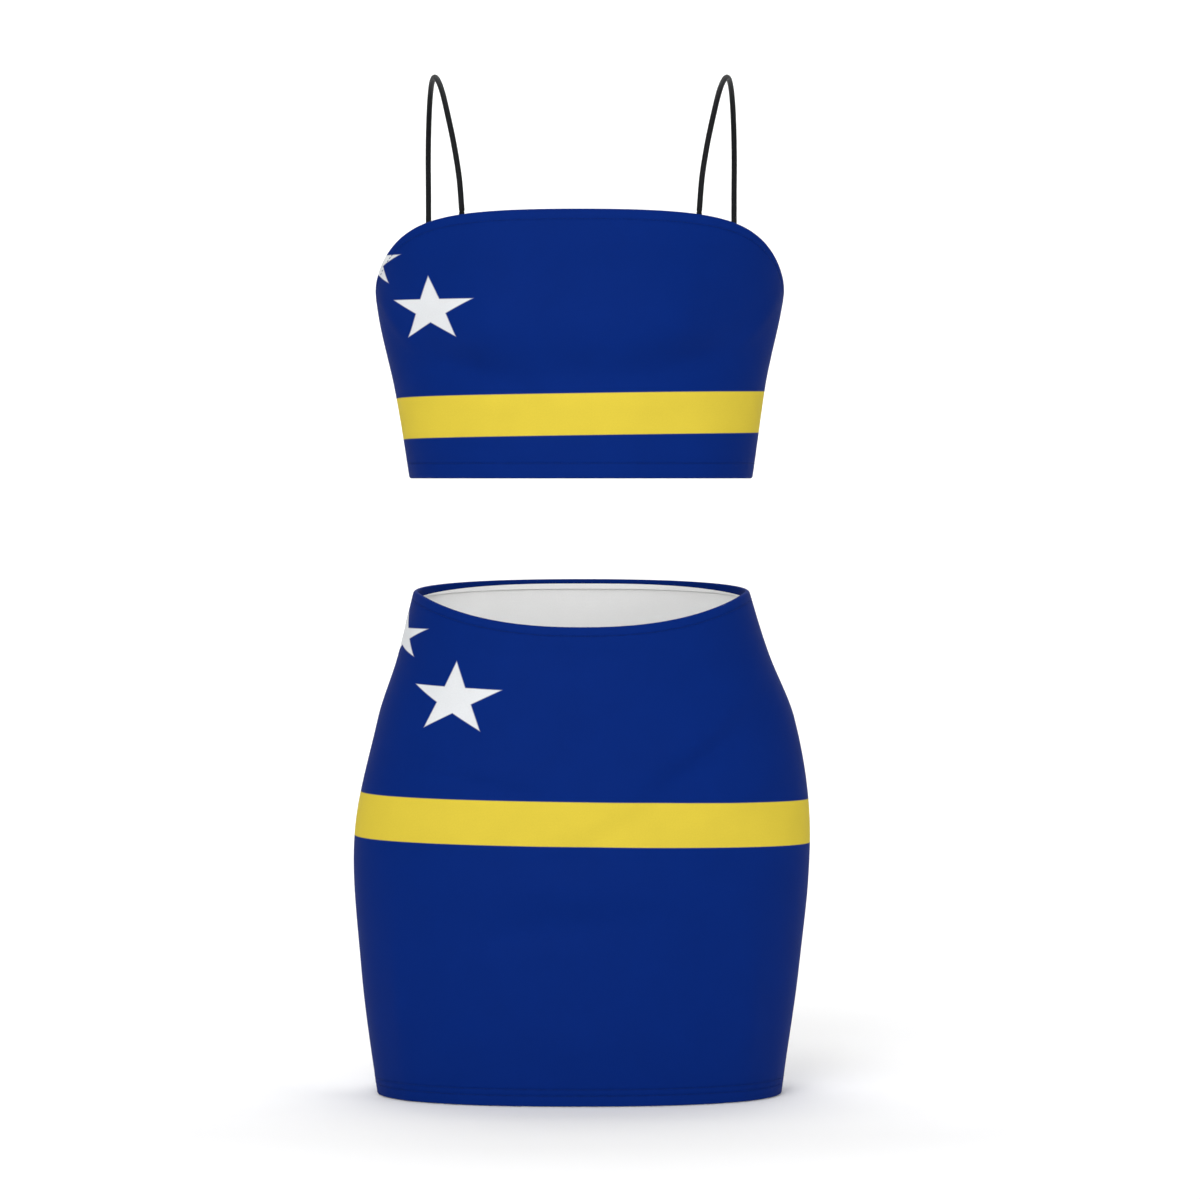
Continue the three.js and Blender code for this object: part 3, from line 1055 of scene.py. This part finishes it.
# %% Rows of stitches
def stitch_row(name, garment, i):
    """Row i of the stitches that go all the way round a garment, in its groove."""
    total = sum(2 * garment.tables[side][1][0] for side in (FRONT, BEHIND))
    count = 2 * round(total / STITCH / 2)
    angles = round_the_body(garment, count)
    frames = []
    for k, angle in enumerate(angles):
        following = angles[(k + 1) % count]
        # The angle jumps by a whole turn where the back begins.
        step = math.remainder(following - angle, 2 * math.pi)
        first = angle + step * (1 - STITCH_GAP) / 2
        last = angle + step * (1 + STITCH_GAP) / 2
        z_first = stitch_lines(garment, first)[i]
        start = garment.at(first, z_first, 0.02)
        end = garment.at(last, stitch_lines(garment, last)[i], 0.02)
        frames.append(frame_between(start, end, outward_at(garment, angle, z_first)))
    return copies_of(one_stitch("stitch", STITCH * STITCH_GAP * DIVE, THREAD), name, frames)


row_names = {"skirt": ("waist", "hem_upper", "hem_lower"), "top": ("upper", "hem")}
stitch_rows = []
for body, garment, _, _ in GARMENTS:
    for i, edge in enumerate(row_names[body]):
        row = stitch_row(f"{body}_{edge}_stitches", garment, i)
        stitch_rows.append(stand_in(row, body, f"{body}_{edge}_stitching"))
print("stitches:", {row.name: len(row.data.polygons) // STITCH_FACES for row in stitch_rows})

# %% [markdown]
# ## The overlocked seams
# Inside the garment the edges of each side seam are wrapped by an overlock stitch: loops of white
# thread round the edge, and a straight needle line beside them. A loop is a thin torus pressed flat
# until it fits round the cloth, leaned over a little, and copied up the seam.

# %% One loop of thread
LOOP_PITCH = 2.2
LOOP_THREAD = 0.34
LOOP_SQUARENESS = 0.4  # the lower, the squarer the corners of the loop
LOOP_LEAN = 0.8  # share of the pitch


def one_loop(width, height):
    """A flat ring of thread in millimetres: X goes through the cloth, Y across the edge."""
    loop = primitive(
        bpy.ops.mesh.primitive_torus_add,
        "loop",
        major_segments=14,
        minor_segments=5,
        major_radius=1.0,
        minor_radius=LOOP_THREAD / 2,
    )
    for vertex in loop.data.vertices:
        x, y, z = vertex.co
        ring = math.hypot(x, y)
        cosine = x / ring
        sine = y / ring
        # A rounded rectangle in place of the circle keeps the thread on the cloth.
        centre_x = math.copysign(abs(cosine) ** LOOP_SQUARENESS, cosine) * height / 2
        centre_y = math.copysign(abs(sine) ** LOOP_SQUARENESS, sine) * width / 2
        out_x = (ring - 1.0) * cosine
        out_y = (ring - 1.0) * sine
        lean = (centre_y / width) * LOOP_PITCH * LOOP_LEAN
        vertex.co = (centre_x + out_x, centre_y + out_y, z + lean)
    return loop


# %% The overlocked seams
NEEDLE_LINE = 3.4  # distance behind the seam of the straight line of stitches
SEAM_EDGE = ALLOWANCE + 0.35
CHAIN_LINE = SEAM_EDGE - 0.3
SEAM_CLEARANCE = 9  # the loops stop this far from the casings


def overlocked_seam(name, garment, side, low, high, depths):
    """Loops round the edges of a side seam from low to high, between two depths."""
    outer, inner = depths
    loop = one_loop(SEAM_EDGE - NEEDLE_LINE, inner - outer)
    seam_angle = 0.0 if side > 0 else math.pi
    inwards = Vector((-side, 0, 0))
    lift = (inner - outer) / 2 + 0.1
    loops = []
    needle = []
    chain = []
    for k in range(round((high - low) / LOOP_PITCH)):
        z = low + (k + 0.5) * LOOP_PITCH
        x_low, _, _ = garment.at(seam_angle, z - 1, (outer + inner) / 2)
        x_high, _, _ = garment.at(seam_angle, z + 1, (outer + inner) / 2)
        up = Vector((x_high - x_low, 0, 2)).normalized()
        across = Vector((0, 1, 0))
        through = across.cross(up).normalized()
        middle = (x_low + x_high) / 2
        centre = Vector((middle, (NEEDLE_LINE + SEAM_EDGE) / 2, z))
        loops.append(frame_at(centre, through, across, up))
        for y, row in ((NEEDLE_LINE, needle), (CHAIN_LINE, chain)):
            on_top = Vector((middle, y, z)) + inwards * lift
            half = up * LOOP_PITCH * 0.42
            row.append(frame_between(on_top - half, on_top + half, inwards))
    wrapped = copies_of(loop, name, loops)
    unit = one_stitch("chain", LOOP_PITCH, LOOP_THREAD * 1.3)
    select_only(copies_of(unit, name + "_lines", needle + chain), wrapped)
    bpy.ops.object.join()
    return wrapped


seam_reach = {
    "skirt": (SKIRT_HEM, SKIRT_LENGTH - WAIST_CASING, (0.85, 2.95)),
    "top": (TOP_HEM + TOP_HEM_CASING, top.rim(0.0) - TOP_CASING, (1.7, 5.2)),
}
overlocks = []
for side_name, side in SIDES:
    for body, garment, _, _ in GARMENTS:
        low, high, depths = seam_reach[body]
        name = f"{body}_{side_name}_overlock"
        low += SEAM_CLEARANCE
        high -= SEAM_CLEARANCE
        seam = overlocked_seam(name, garment, side, low, high, depths)
        cad_node = f"{body}_{side_name}_seam_overlock"
        overlocks.append(stand_in(seam, body, cad_node))
print("overlocks:", [(seam.name, len(seam.data.polygons)) for seam in overlocks])

# %% [markdown]
# ## The ends of the straps
# Inside the upper edge the end of each strap is pressed flat and sewn down by two short bars of
# zigzag stitches. The flat end starts as a cube, which is subdivided, pinched where the bars hold it
# and rounded off by a subdivision surface.

# %% The flat end of a strap
TAIL_WIDTH = 5.4
TAIL_THICKNESS = 1.6
TAIL_LENGTH = 11.0
TAIL_DEPTH = 4.5  # from the printed face to the outside of the tail
BAR_HEIGHTS = (-2.4, 2.6)
GATHERED_RADIUS = 2.1
GATHERED_FROM = 3.2  # height at which the flat part begins to gather
GATHERED_RISE = 1.4  # and how much longer it gets


def clamped(value, low, high):
    return max(low, min(high, value))


def flat_end(name):
    """The flattened end of a cord, in millimetres, with X across, Y through and Z up."""
    end = primitive(bpy.ops.mesh.primitive_cube_add, name, size=1)
    bpy.ops.object.mode_set(mode="EDIT")
    bpy.ops.mesh.select_all(action="SELECT")
    bpy.ops.transform.resize(value=(TAIL_WIDTH, TAIL_THICKNESS, TAIL_LENGTH))
    bpy.ops.mesh.subdivide(number_cuts=7)
    bpy.ops.object.mode_set(mode="OBJECT")
    for vertex in end.data.vertices:
        x, y, z = vertex.co
        across = clamped(x / (TAIL_WIDTH / 2), -1.0, 1.0)
        through = clamped(y / (TAIL_THICKNESS / 2), -1.0, 1.0)
        pinch = sum(bell(z - bar, 1.1) for bar in BAR_HEIGHTS)
        narrow = 1 - 0.16 * max(0.0, z / TAIL_LENGTH + 0.1) - 0.05 * pinch
        thick = mix(0.45, 1.0, math.sqrt(1 - abs(across) ** 3)) * (1 - 0.3 * pinch)
        # Towards its upper end the flat part gathers into the round cord: the square section of
        # the cube is drawn in to a disc.
        gathered = clamped((z - GATHERED_FROM) / 2.3, 0.0, 1.0) ** 1.5
        disc_x = across * math.sqrt(1 - through**2 / 2) * GATHERED_RADIUS
        disc_y = through * math.sqrt(1 - across**2 / 2) * GATHERED_RADIUS
        vertex.co = (
            mix(x * narrow, disc_x, gathered),
            mix(y * thick, disc_y, gathered),
            z + GATHERED_RISE * gathered,
        )
    soften = end.modifiers.new("soften", "SUBSURF")
    soften.levels = 1
    soften.render_levels = 1
    bpy.ops.object.modifier_apply(modifier=soften.name)
    cut = end.data.uv_layers[0]
    cut.name = "Cut"
    for loop, corner in zip(end.data.loops, cut.data):
        place = end.data.vertices[loop.vertex_index].co
        corner.uv = (place.x * MM, place.z * MM)
    return end


def place_piece(piece, placed):
    """Puts a piece made in millimetres at the origin into its place in its mesh."""
    piece.data.transform(placed)
    piece.data.update()
    return finished(piece, 60)


# %% The four ends in their places, with their bar tacks
BAR_LIFT = 0.85  # the bars lie on the inner face of the tail
BAR_TURNS = 13
BAR_SWING = 0.8
BAR_STEP = 0.5
BAR_STITCH = 1.75


def strap_end_angle(x, face, inset):
    """The angle round the top at which the inset surface is x from the middle."""
    angle = 0.0
    for _ in range(4):
        reach = top.half_width(top.rim(angle)) - inset
        angle = face * math.acos((x / reach) ** (BLUNTNESS / 2))
    return angle


def bar_tack(name, centre, across, inwards, up):
    """Two bars of zigzag stitches on the inner face of a flat end."""
    on_face = centre + inwards * BAR_LIFT
    bars = []
    for bar in BAR_HEIGHTS:
        zigzag = []
        for k in range(BAR_TURNS):
            swing = BAR_SWING if k % 2 else -BAR_SWING
            zigzag.append(on_face + across * (BAR_STEP * k - 3.0) + up * (bar + swing))
        bars += [frame_between(a, b, inwards) for a, b in zip(zigzag, zigzag[1:])]
    return copies_of(one_stitch("bar", BAR_STITCH, THREAD), name, bars)


strap_ends = []
tacks = []
middle_depth = TAIL_DEPTH + TAIL_THICKNESS / 2
for side_name, side in SIDES:
    for (face_name, face), end_point in zip(FACES, (FRONT_END, BACK_END)):
        angle = strap_end_angle(end_point[0], face, middle_depth)
        if side < 0:
            angle = math.copysign(math.pi, angle) - angle
        z = end_point[2] - CORD_DIAMETER / 2 - 0.3 - TAIL_LENGTH / 2
        centre = Vector(top.at(angle, z, middle_depth))
        above = Vector(top.at(angle, z + 4, middle_depth))
        up = (above - Vector(top.at(angle, z - 4, middle_depth))).normalized()
        inwards = -outward_at(top, angle, z)
        across = inwards.cross(up).normalized()
        inwards = up.cross(across)
        name = f"{side_name}_{face_name}"
        placed = frame_at(centre, across, inwards, up)
        end = place_piece(flat_end(f"{name}_strap_end"), placed)
        strap_ends.append(stand_in(end, "top", f"{name}_strap_tail"))
        tack = bar_tack(f"{name}_bar_tack", centre, across, inwards, up)
        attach(tack, "top")
        tacks.append(tack)
print("strap ends:", [piece.name for piece in strap_ends + tacks])

# %% [markdown]
# # Finishes
# Colours are given as sRGB hex values, as a dyer's swatch card gives them, and one function turns
# them to the linear values that Blender works in. One small function adds a node with its settings
# and its links, so that each material below reads as a list of what it is made of.

# %% Helpers for colours and nodes
def linear(swatch):
    """An sRGB hex value as linear red, green, blue and alpha."""
    channels = [int(swatch[i : i + 2], 16) / 255 for i in (1, 3, 5)]
    return (*[c / 12.92 if c <= 0.04045 else ((c + 0.055) / 1.055) ** 2.4 for c in channels], 1.0)


def darker(colour, share):
    return (colour[0] * share, colour[1] * share, colour[2] * share, 1.0)


def fill(tree, node, sockets):
    """Each socket named gets a value, a link, or the first output of another node."""
    for key, value in sockets.items():
        if isinstance(value, bpy.types.Node):
            value = value.outputs[0]
        if isinstance(value, bpy.types.NodeSocket):
            tree.links.new(value, node.inputs[key])
        else:
            node.inputs[key].default_value = value


def add_node(tree, kind, sockets=None, **settings):
    """A node with its settings and its sockets filled."""
    node = tree.nodes.new("ShaderNode" + kind)
    for key, value in settings.items():
        setattr(node, key, value)
    fill(tree, node, sockets or {})
    return node


def new_finish(name, roughness, specular, sheen=0.0):
    """A material with a plain surface, ready for its colour and bump."""
    finish = bpy.data.materials.new(name)
    finish.use_nodes = True
    tree = finish.node_tree
    surface = tree.nodes["Principled BSDF"]
    plain = {"Roughness": roughness, "Specular IOR Level": specular, "Sheen Weight": sheen}
    fill(tree, surface, {**plain, "Sheen Roughness": 0.45})
    return finish, tree, surface


def dressed(tree, surface, colour, height, strength, depth):
    """Gives a surface its colour and a bump of the given depth."""
    sockets = {"Strength": strength, "Distance": depth, "Height": height}
    fill(tree, surface, {"Base Color": colour, "Normal": add_node(tree, "Bump", sockets)})


print("half grey in linear light:", round(linear("#808080")[0], 4))

# %% [markdown]
# ## Printed knit
# The real cloth is a polyester and elastane interlock. The pattern is printed on it by heat, which
# dyes the yarn itself, so it has no film and no edge that can be felt: the eye gets a deep, matt,
# even colour, and very fine upright ribs of loops. A rib, or wale, is about 0.6 mm wide. It is
# drawn 1.3 mm wide, because the real one is too fine to show at this size. The band and the stars
# are drawn on the flat cut in metres, with edges that blur by half a millimetre as ink does.

# %% Fine structure of the knit
WALE = 1.3 * MM
COURSE = 1.1 * MM
CLOUD_SCALE = 28.0  # clouds about 35 mm across
YARN_SCALE = 900.0  # and yarns about 1 mm


def knit_loops(tree, u, v):
    """Height of the columns of V-shaped loops, from 0 to 1."""
    column = add_node(tree, "Math", {0: u, 1: WALE}, operation="DIVIDE")
    lean = add_node(tree, "Math", {0: column, 1: 0.5}, operation="PINGPONG")
    row = add_node(tree, "Math", {0: v, 1: COURSE}, operation="DIVIDE")
    slanted = add_node(tree, "Math", {0: lean, 1: 1.1, 2: row}, operation="MULTIPLY_ADD")
    turn = add_node(tree, "Math", {0: slanted, 1: math.tau}, operation="MULTIPLY")
    yarn = add_node(tree, "Math", {0: turn}, operation="SINE")
    crown = add_node(tree, "Math", {0: lean, 1: math.tau}, operation="MULTIPLY")
    rib = add_node(tree, "Math", {0: crown}, operation="SINE")
    height = add_node(tree, "Math", {0: yarn, 1: 0.25, 2: 0.4}, operation="MULTIPLY_ADD")
    return add_node(tree, "Math", {0: rib, 1: 0.35, 2: height}, operation="MULTIPLY_ADD")


def cut_position(tree):
    """The place on the flat cut: the map itself, and its two directions in metres."""
    cut = add_node(tree, "UVMap", uv_map="Cut")
    parts = add_node(tree, "SeparateXYZ", {0: cut})
    return cut, parts.outputs[0], parts.outputs[1]


def uneven_and_relief_shaded(tree, colour, cut, relief_for_shade, amount):
    """Colour that varies a little, in soft clouds and from yarn to yarn, with painted shade from the
    relief given: darker in its hollows, lighter on its crowns.
    """
    clouds = add_node(tree, "TexNoise", {"Vector": cut, "Scale": CLOUD_SCALE, "Detail": 3.0})
    yarns = add_node(tree, "TexNoise", {"Vector": cut, "Scale": YARN_SCALE, "Detail": 1.0})
    both = add_node(tree, "Math", {0: clouds, 1: yarns}, operation="ADD")
    # Half the height of the loops or ribs is added in: painted shade in their hollows and painted
    # light on their crowns.
    loops = add_node(tree, "Math", {0: relief_for_shade, 1: 0.5, 2: both}, operation="MULTIPLY_ADD")
    limits = {0: loops, 1: 0.6, 2: 1.8, 3: 1.0 - amount, 4: 1.0 + amount}
    tone_and_shade = add_node(tree, "MapRange", limits)
    return add_node(tree, "VectorMath", {0: colour, "Scale": tone_and_shade}, operation="SCALE")


# %% Band and stars
EDGE_BLUR = 0.5 * MM
TIP_COSINE = math.cos(math.radians(72))


def band_mask(tree, u, v, height, half_width, slope):
    """1 inside a level band of colour, which climbs by slope for each metre to the left."""
    climb = add_node(tree, "Math", {0: u, 1: -slope, 2: v}, operation="MULTIPLY_ADD")
    above = add_node(tree, "Math", {0: climb, 1: height * MM}, operation="SUBTRACT")
    away = add_node(tree, "Math", {0: above}, operation="ABSOLUTE")
    limits = {0: away, 1: half_width * MM + EDGE_BLUR, 2: half_width * MM - EDGE_BLUR}
    return add_node(tree, "MapRange", limits, interpolation_type="SMOOTHSTEP")


def star_mask(tree, cut, centre, size, turn):
    """1 inside a five-pointed star with its first point upwards."""
    scaled = add_node(tree, "Mapping", {0: cut}, vector_type="TEXTURE")
    scaled.inputs["Location"].default_value = (centre[0] * MM, centre[1] * MM, 0)
    scaled.inputs["Scale"].default_value = (size[0] * MM, size[1] * MM, 1)
    upright = add_node(tree, "Mapping", {0: scaled}, vector_type="TEXTURE")
    upright.inputs["Rotation"].default_value = (0, 0, math.radians(turn))
    flat = add_node(tree, "VectorMath", {0: upright, 1: (1, 1, 0)}, operation="MULTIPLY")
    length = add_node(tree, "VectorMath", {0: flat}, operation="LENGTH")
    parts = add_node(tree, "SeparateXYZ", {0: flat})
    place = {0: parts.outputs[0], 1: parts.outputs[1]}
    angle = add_node(tree, "Math", place, operation="ARCTAN2")
    folded = add_node(tree, "Math", {0: angle, 1: math.pi / 5}, operation="PINGPONG")
    from_edge = add_node(tree, "Math", {0: math.tau / 5, 1: folded}, operation="SUBTRACT")
    cosine = add_node(tree, "Math", {0: from_edge}, operation="COSINE")
    radius = length.outputs["Value"]
    reach = add_node(tree, "Math", {0: radius, 1: cosine}, operation="MULTIPLY")
    blur = EDGE_BLUR / (size[1] * MM)
    limits = {0: reach, 1: TIP_COSINE + blur, 2: TIP_COSINE - blur}
    return add_node(tree, "MapRange", limits, interpolation_type="SMOOTHSTEP")


# %% The four printed panels
BLUE = linear("#022168")
YELLOW = linear("#c9b43a")
WHITE_PRINT = linear("#cfd1d3")
# A band is (height, half width, climb), and a star (middle, radii, turn in degrees).
BANDS = {"skirt": (221.2, 17.4, -0.0133), "top": (541.4, 16.3, 0.0149)}
STARS = {
    "skirt_front": [((-106.6, 318.5), (41.8, 29.1), -3.7), ((-181.5, 366.5), (48.2, 19.3), 0.0)],
    "top_front": [((-126.2, 623.5), (43.9, 26.0), -0.5), ((-203.6, 661.5), (50.0, 19.4), 0.0)],
}
BELOW = 6  # the sockets of a colour mix that take its two colours
ABOVE = 7
MIXED = 2  # and the one that gives the mixed colour


def printed_knit(name, band, stars):
    """Blue knit with one band, and the stars of the front."""
    finish, tree, surface = new_finish(name, 0.7, 0.04)
    cut, u, v = cut_position(tree)
    colour = BLUE
    masks = [(band_mask(tree, u, v, *band), YELLOW)]
    masks += [(star_mask(tree, cut, *star), WHITE_PRINT) for star in stars]
    for mask, ink in masks:
        sockets = {0: mask, BELOW: colour, ABOVE: ink}
        colour = add_node(tree, "Mix", sockets, data_type="RGBA").outputs[MIXED]
    loops = knit_loops(tree, u, v)
    # The hollows of the loops get painted shade in the print's colour, along with the clouds and
    # yarns.
    dressed(tree, surface, uneven_and_relief_shaded(tree, colour, cut, loops, 0.07), loops, 0.35, 0.12 * MM)
    return finish


printed = {}
for key in panels:
    band = BANDS[key.split("_")[0]]
    printed[key] = printed_knit(f"printed_knit_{key}", band, STARS.get(key, []))
print("prints:", sorted(printed))

# %% [markdown]
# ## White knit, elastic, thread and cord
# The reverse of the cloth and the lining are undyed yarn: a chalky white that is matter than the
# print. The elastic is woven with fine ribs across. Thread is twisted and a little glossier. The
# strap is a black cord rolled from knit, whose loops run along it.

# %% Plain finishes
RIB = 0.9 * MM  # the ribs of the elastic, and the loops of the cord
TWIST = 0.6 * MM


def white_knit(name, swatch):
    """Undyed yarn, chalky and matt."""
    finish, tree, surface = new_finish(name, 0.8, 0.2, sheen=0.04)
    cut, u, v = cut_position(tree)
    loops = knit_loops(tree, u, v)
    # As in the print, the hollows of the loops are painted darker, as shade.
    colour = uneven_and_relief_shaded(tree, linear(swatch)[:3], cut, loops, 0.04)
    dressed(tree, surface, colour, loops, 0.4, 0.14 * MM)
    return finish


def ribbed(name, swatch, roughness, specular, depth, hollow_shade=0.75):
    """Ribs along the map, with painted shade in their hollows."""
    finish, tree, surface = new_finish(name, roughness, specular)
    cut, u, _ = cut_position(tree)
    turn = add_node(tree, "Math", {0: u, 1: math.tau / RIB}, operation="MULTIPLY")
    wave = add_node(tree, "Math", {0: turn}, operation="SINE")
    height = add_node(tree, "Math", {0: wave, 1: 0.5, 2: 0.5}, operation="MULTIPLY_ADD")
    # Painted shade: the hollows between the ribs take a darker copy of the colour, and the rib height
    # shades it again.
    full = linear(swatch)
    sockets = {0: height, BELOW: darker(full, hollow_shade), ABOVE: full}
    colour = add_node(tree, "Mix", sockets, data_type="RGBA").outputs[MIXED]
    dressed(tree, surface, uneven_and_relief_shaded(tree, colour, cut, height, 0.06), height, 0.6, depth)
    return finish


def sewing_thread(name, swatch, roughness, specular):
    """Twisted polyester: the twist is drawn 0.6 mm apart on the piece's own coordinates, and its
    grooves are painted darker as shade.
    """
    finish, tree, surface = new_finish(name, roughness, specular)
    sockets = {
        "Vector": add_node(tree, "TexCoord").outputs["Object"],
        "Scale": math.tau / 20 / TWIST,
        "Distortion": 0.0,
    }
    twist = add_node(tree, "TexWave", sockets, bands_direction="DIAGONAL").outputs["Fac"]
    full = linear(swatch)
    # Painted shade: the grooves of the twist take 0.8 of the thread's colour.
    sockets = {0: twist, BELOW: darker(full, 0.8), ABOVE: full}
    colour = add_node(tree, "Mix", sockets, data_type="RGBA").outputs[MIXED]
    dressed(tree, surface, colour, twist, 0.5, 0.08 * MM)
    return finish


# %% Every piece gets its finish
def coat(pieces, finish):
    for piece in pieces:
        piece.data.materials.clear()
        piece.data.materials.append(finish)


reverse_knit = white_knit("undyed_knit_reverse", "#f8f8f7")
for key, sheet in panels.items():
    sheet.data.materials[0] = printed[key]
    sheet.data.materials[REVERSE_SLOT] = reverse_knit
coat(linings.values(), white_knit("undyed_lining_knit", "#efefee"))
coat(elastics, ribbed("woven_elastic", "#e9e9e6", 0.7, 0.3, 0.15 * MM))
# The cord's rib hollows are painted at half its colour, as shade.
black_cord = ribbed("black_knitted_cord", "#131417", 0.6, 0.12, 0.12 * MM, hollow_shade=0.5)
coat(straps + strap_ends, black_cord)
coat(stitch_rows + tacks, sewing_thread("blue_polyester_thread", "#04246b", 0.65, 0.08))
coat(overlocks, sewing_thread("white_polyester_thread", "#e6e6e4", 0.5, 0.4))
print("finishes:", [finish.name for finish in bpy.data.materials if finish.users])

# %% [markdown]
# # The studio
# The uniform stands on a pale floor that curves up into the wall behind, as paper from a roll does,
# so that there is no line where they meet. The light is soft and comes from everywhere. One large
# panel above models the folds, three weaker ones in front and at the sides keep the blue from
# going black, and the last one lights the wall.

# %% Floor and wall
FLOOR_DROP = 0.0006
PAPER_SIZE = (14, 12, 1)
PAPER_FORWARD = 2.5
WALL_HEIGHT = 6


def studio_paper():
    """A wide strip of paper on the floor, extruded up the wall and rounded where it turns."""
    paper = primitive(bpy.ops.mesh.primitive_plane_add, "studio_paper", size=1)
    bpy.ops.object.mode_set(mode="EDIT")
    bpy.ops.mesh.select_all(action="SELECT")
    bpy.ops.transform.resize(value=PAPER_SIZE)
    bpy.ops.transform.translate(value=(0, -PAPER_FORWARD, -FLOOR_DROP))
    bpy.ops.mesh.select_mode(type="EDGE")
    bpy.ops.mesh.select_all(action="DESELECT")
    bpy.ops.object.mode_set(mode="OBJECT")
    far = max(v.co.y for v in paper.data.vertices)
    for edge in paper.data.edges:
        edge.select = all(paper.data.vertices[i].co.y > far - 0.01 for i in edge.vertices)
    bpy.ops.object.mode_set(mode="EDIT")
    bpy.ops.mesh.extrude_region_move(TRANSFORM_OT_translate={"value": (0, 0, WALL_HEIGHT)})
    bpy.ops.object.mode_set(mode="OBJECT")
    rounding = paper.modifiers.new("rounding", "BEVEL")
    rounding.width = 1.2
    rounding.segments = 24
    bpy.ops.object.modifier_apply(modifier=rounding.name)
    return finished(paper, 60)


paper = studio_paper()
paper_finish, tree, surface = new_finish("matt_paper", 0.95, 0.1)
grain_place = add_node(tree, "TexCoord").outputs["Object"]
grain = add_node(tree, "TexNoise", {"Vector": grain_place, "Scale": 3.0})
sockets = {0: grain, BELOW: linear("#f6f6f6"), ABOVE: linear("#fbfbfb")}
paper_colour = add_node(tree, "Mix", sockets, data_type="RGBA").outputs[MIXED]
fill(tree, surface, {"Base Color": paper_colour})
coat([paper], paper_finish)

# %% Light
MIDDLE = (0, 0, 0.4)
WALL = (0, 4.0, 1.0)
# Each panel is (name, place, what it points at, size, power).
PANELS = [
    ("panel_above", (-0.6, -2.3, 3.0), MIDDLE, 1.6, 43),
    ("panel_in_front", (-0.5, -3.0, 1.02), MIDDLE, 0.9, 35),
    ("panel_left", (-3.0, -1.6, 1.2), MIDDLE, 1.6, 12),
    ("panel_right", (3.0, -1.6, 1.2), MIDDLE, 1.6, 27),
    ("panel_for_the_wall", (0, 1.2, 3.6), WALL, 2.4, 95),
]
for name, place, target, size, power in PANELS:
    bpy.ops.object.light_add(type="AREA", location=place, rotation=aimed(place, target))
    light = bpy.context.object
    light.name = name
    light.data.shape = "SQUARE"
    light.data.size = size
    light.data.energy = power
sky = bpy.data.worlds.new("studio")
sky.use_nodes = True
background = sky.node_tree.nodes["Background"]
fill(sky.node_tree, background, {"Color": (1, 1, 1, 1), "Strength": 0.32})
bpy.context.scene.world = sky
bpy.context.scene.view_settings.view_transform = "Standard"

# %% [markdown]
# The end
# The scene is brought up to date at the end.

# %% The end
bpy.context.view_layer.update()
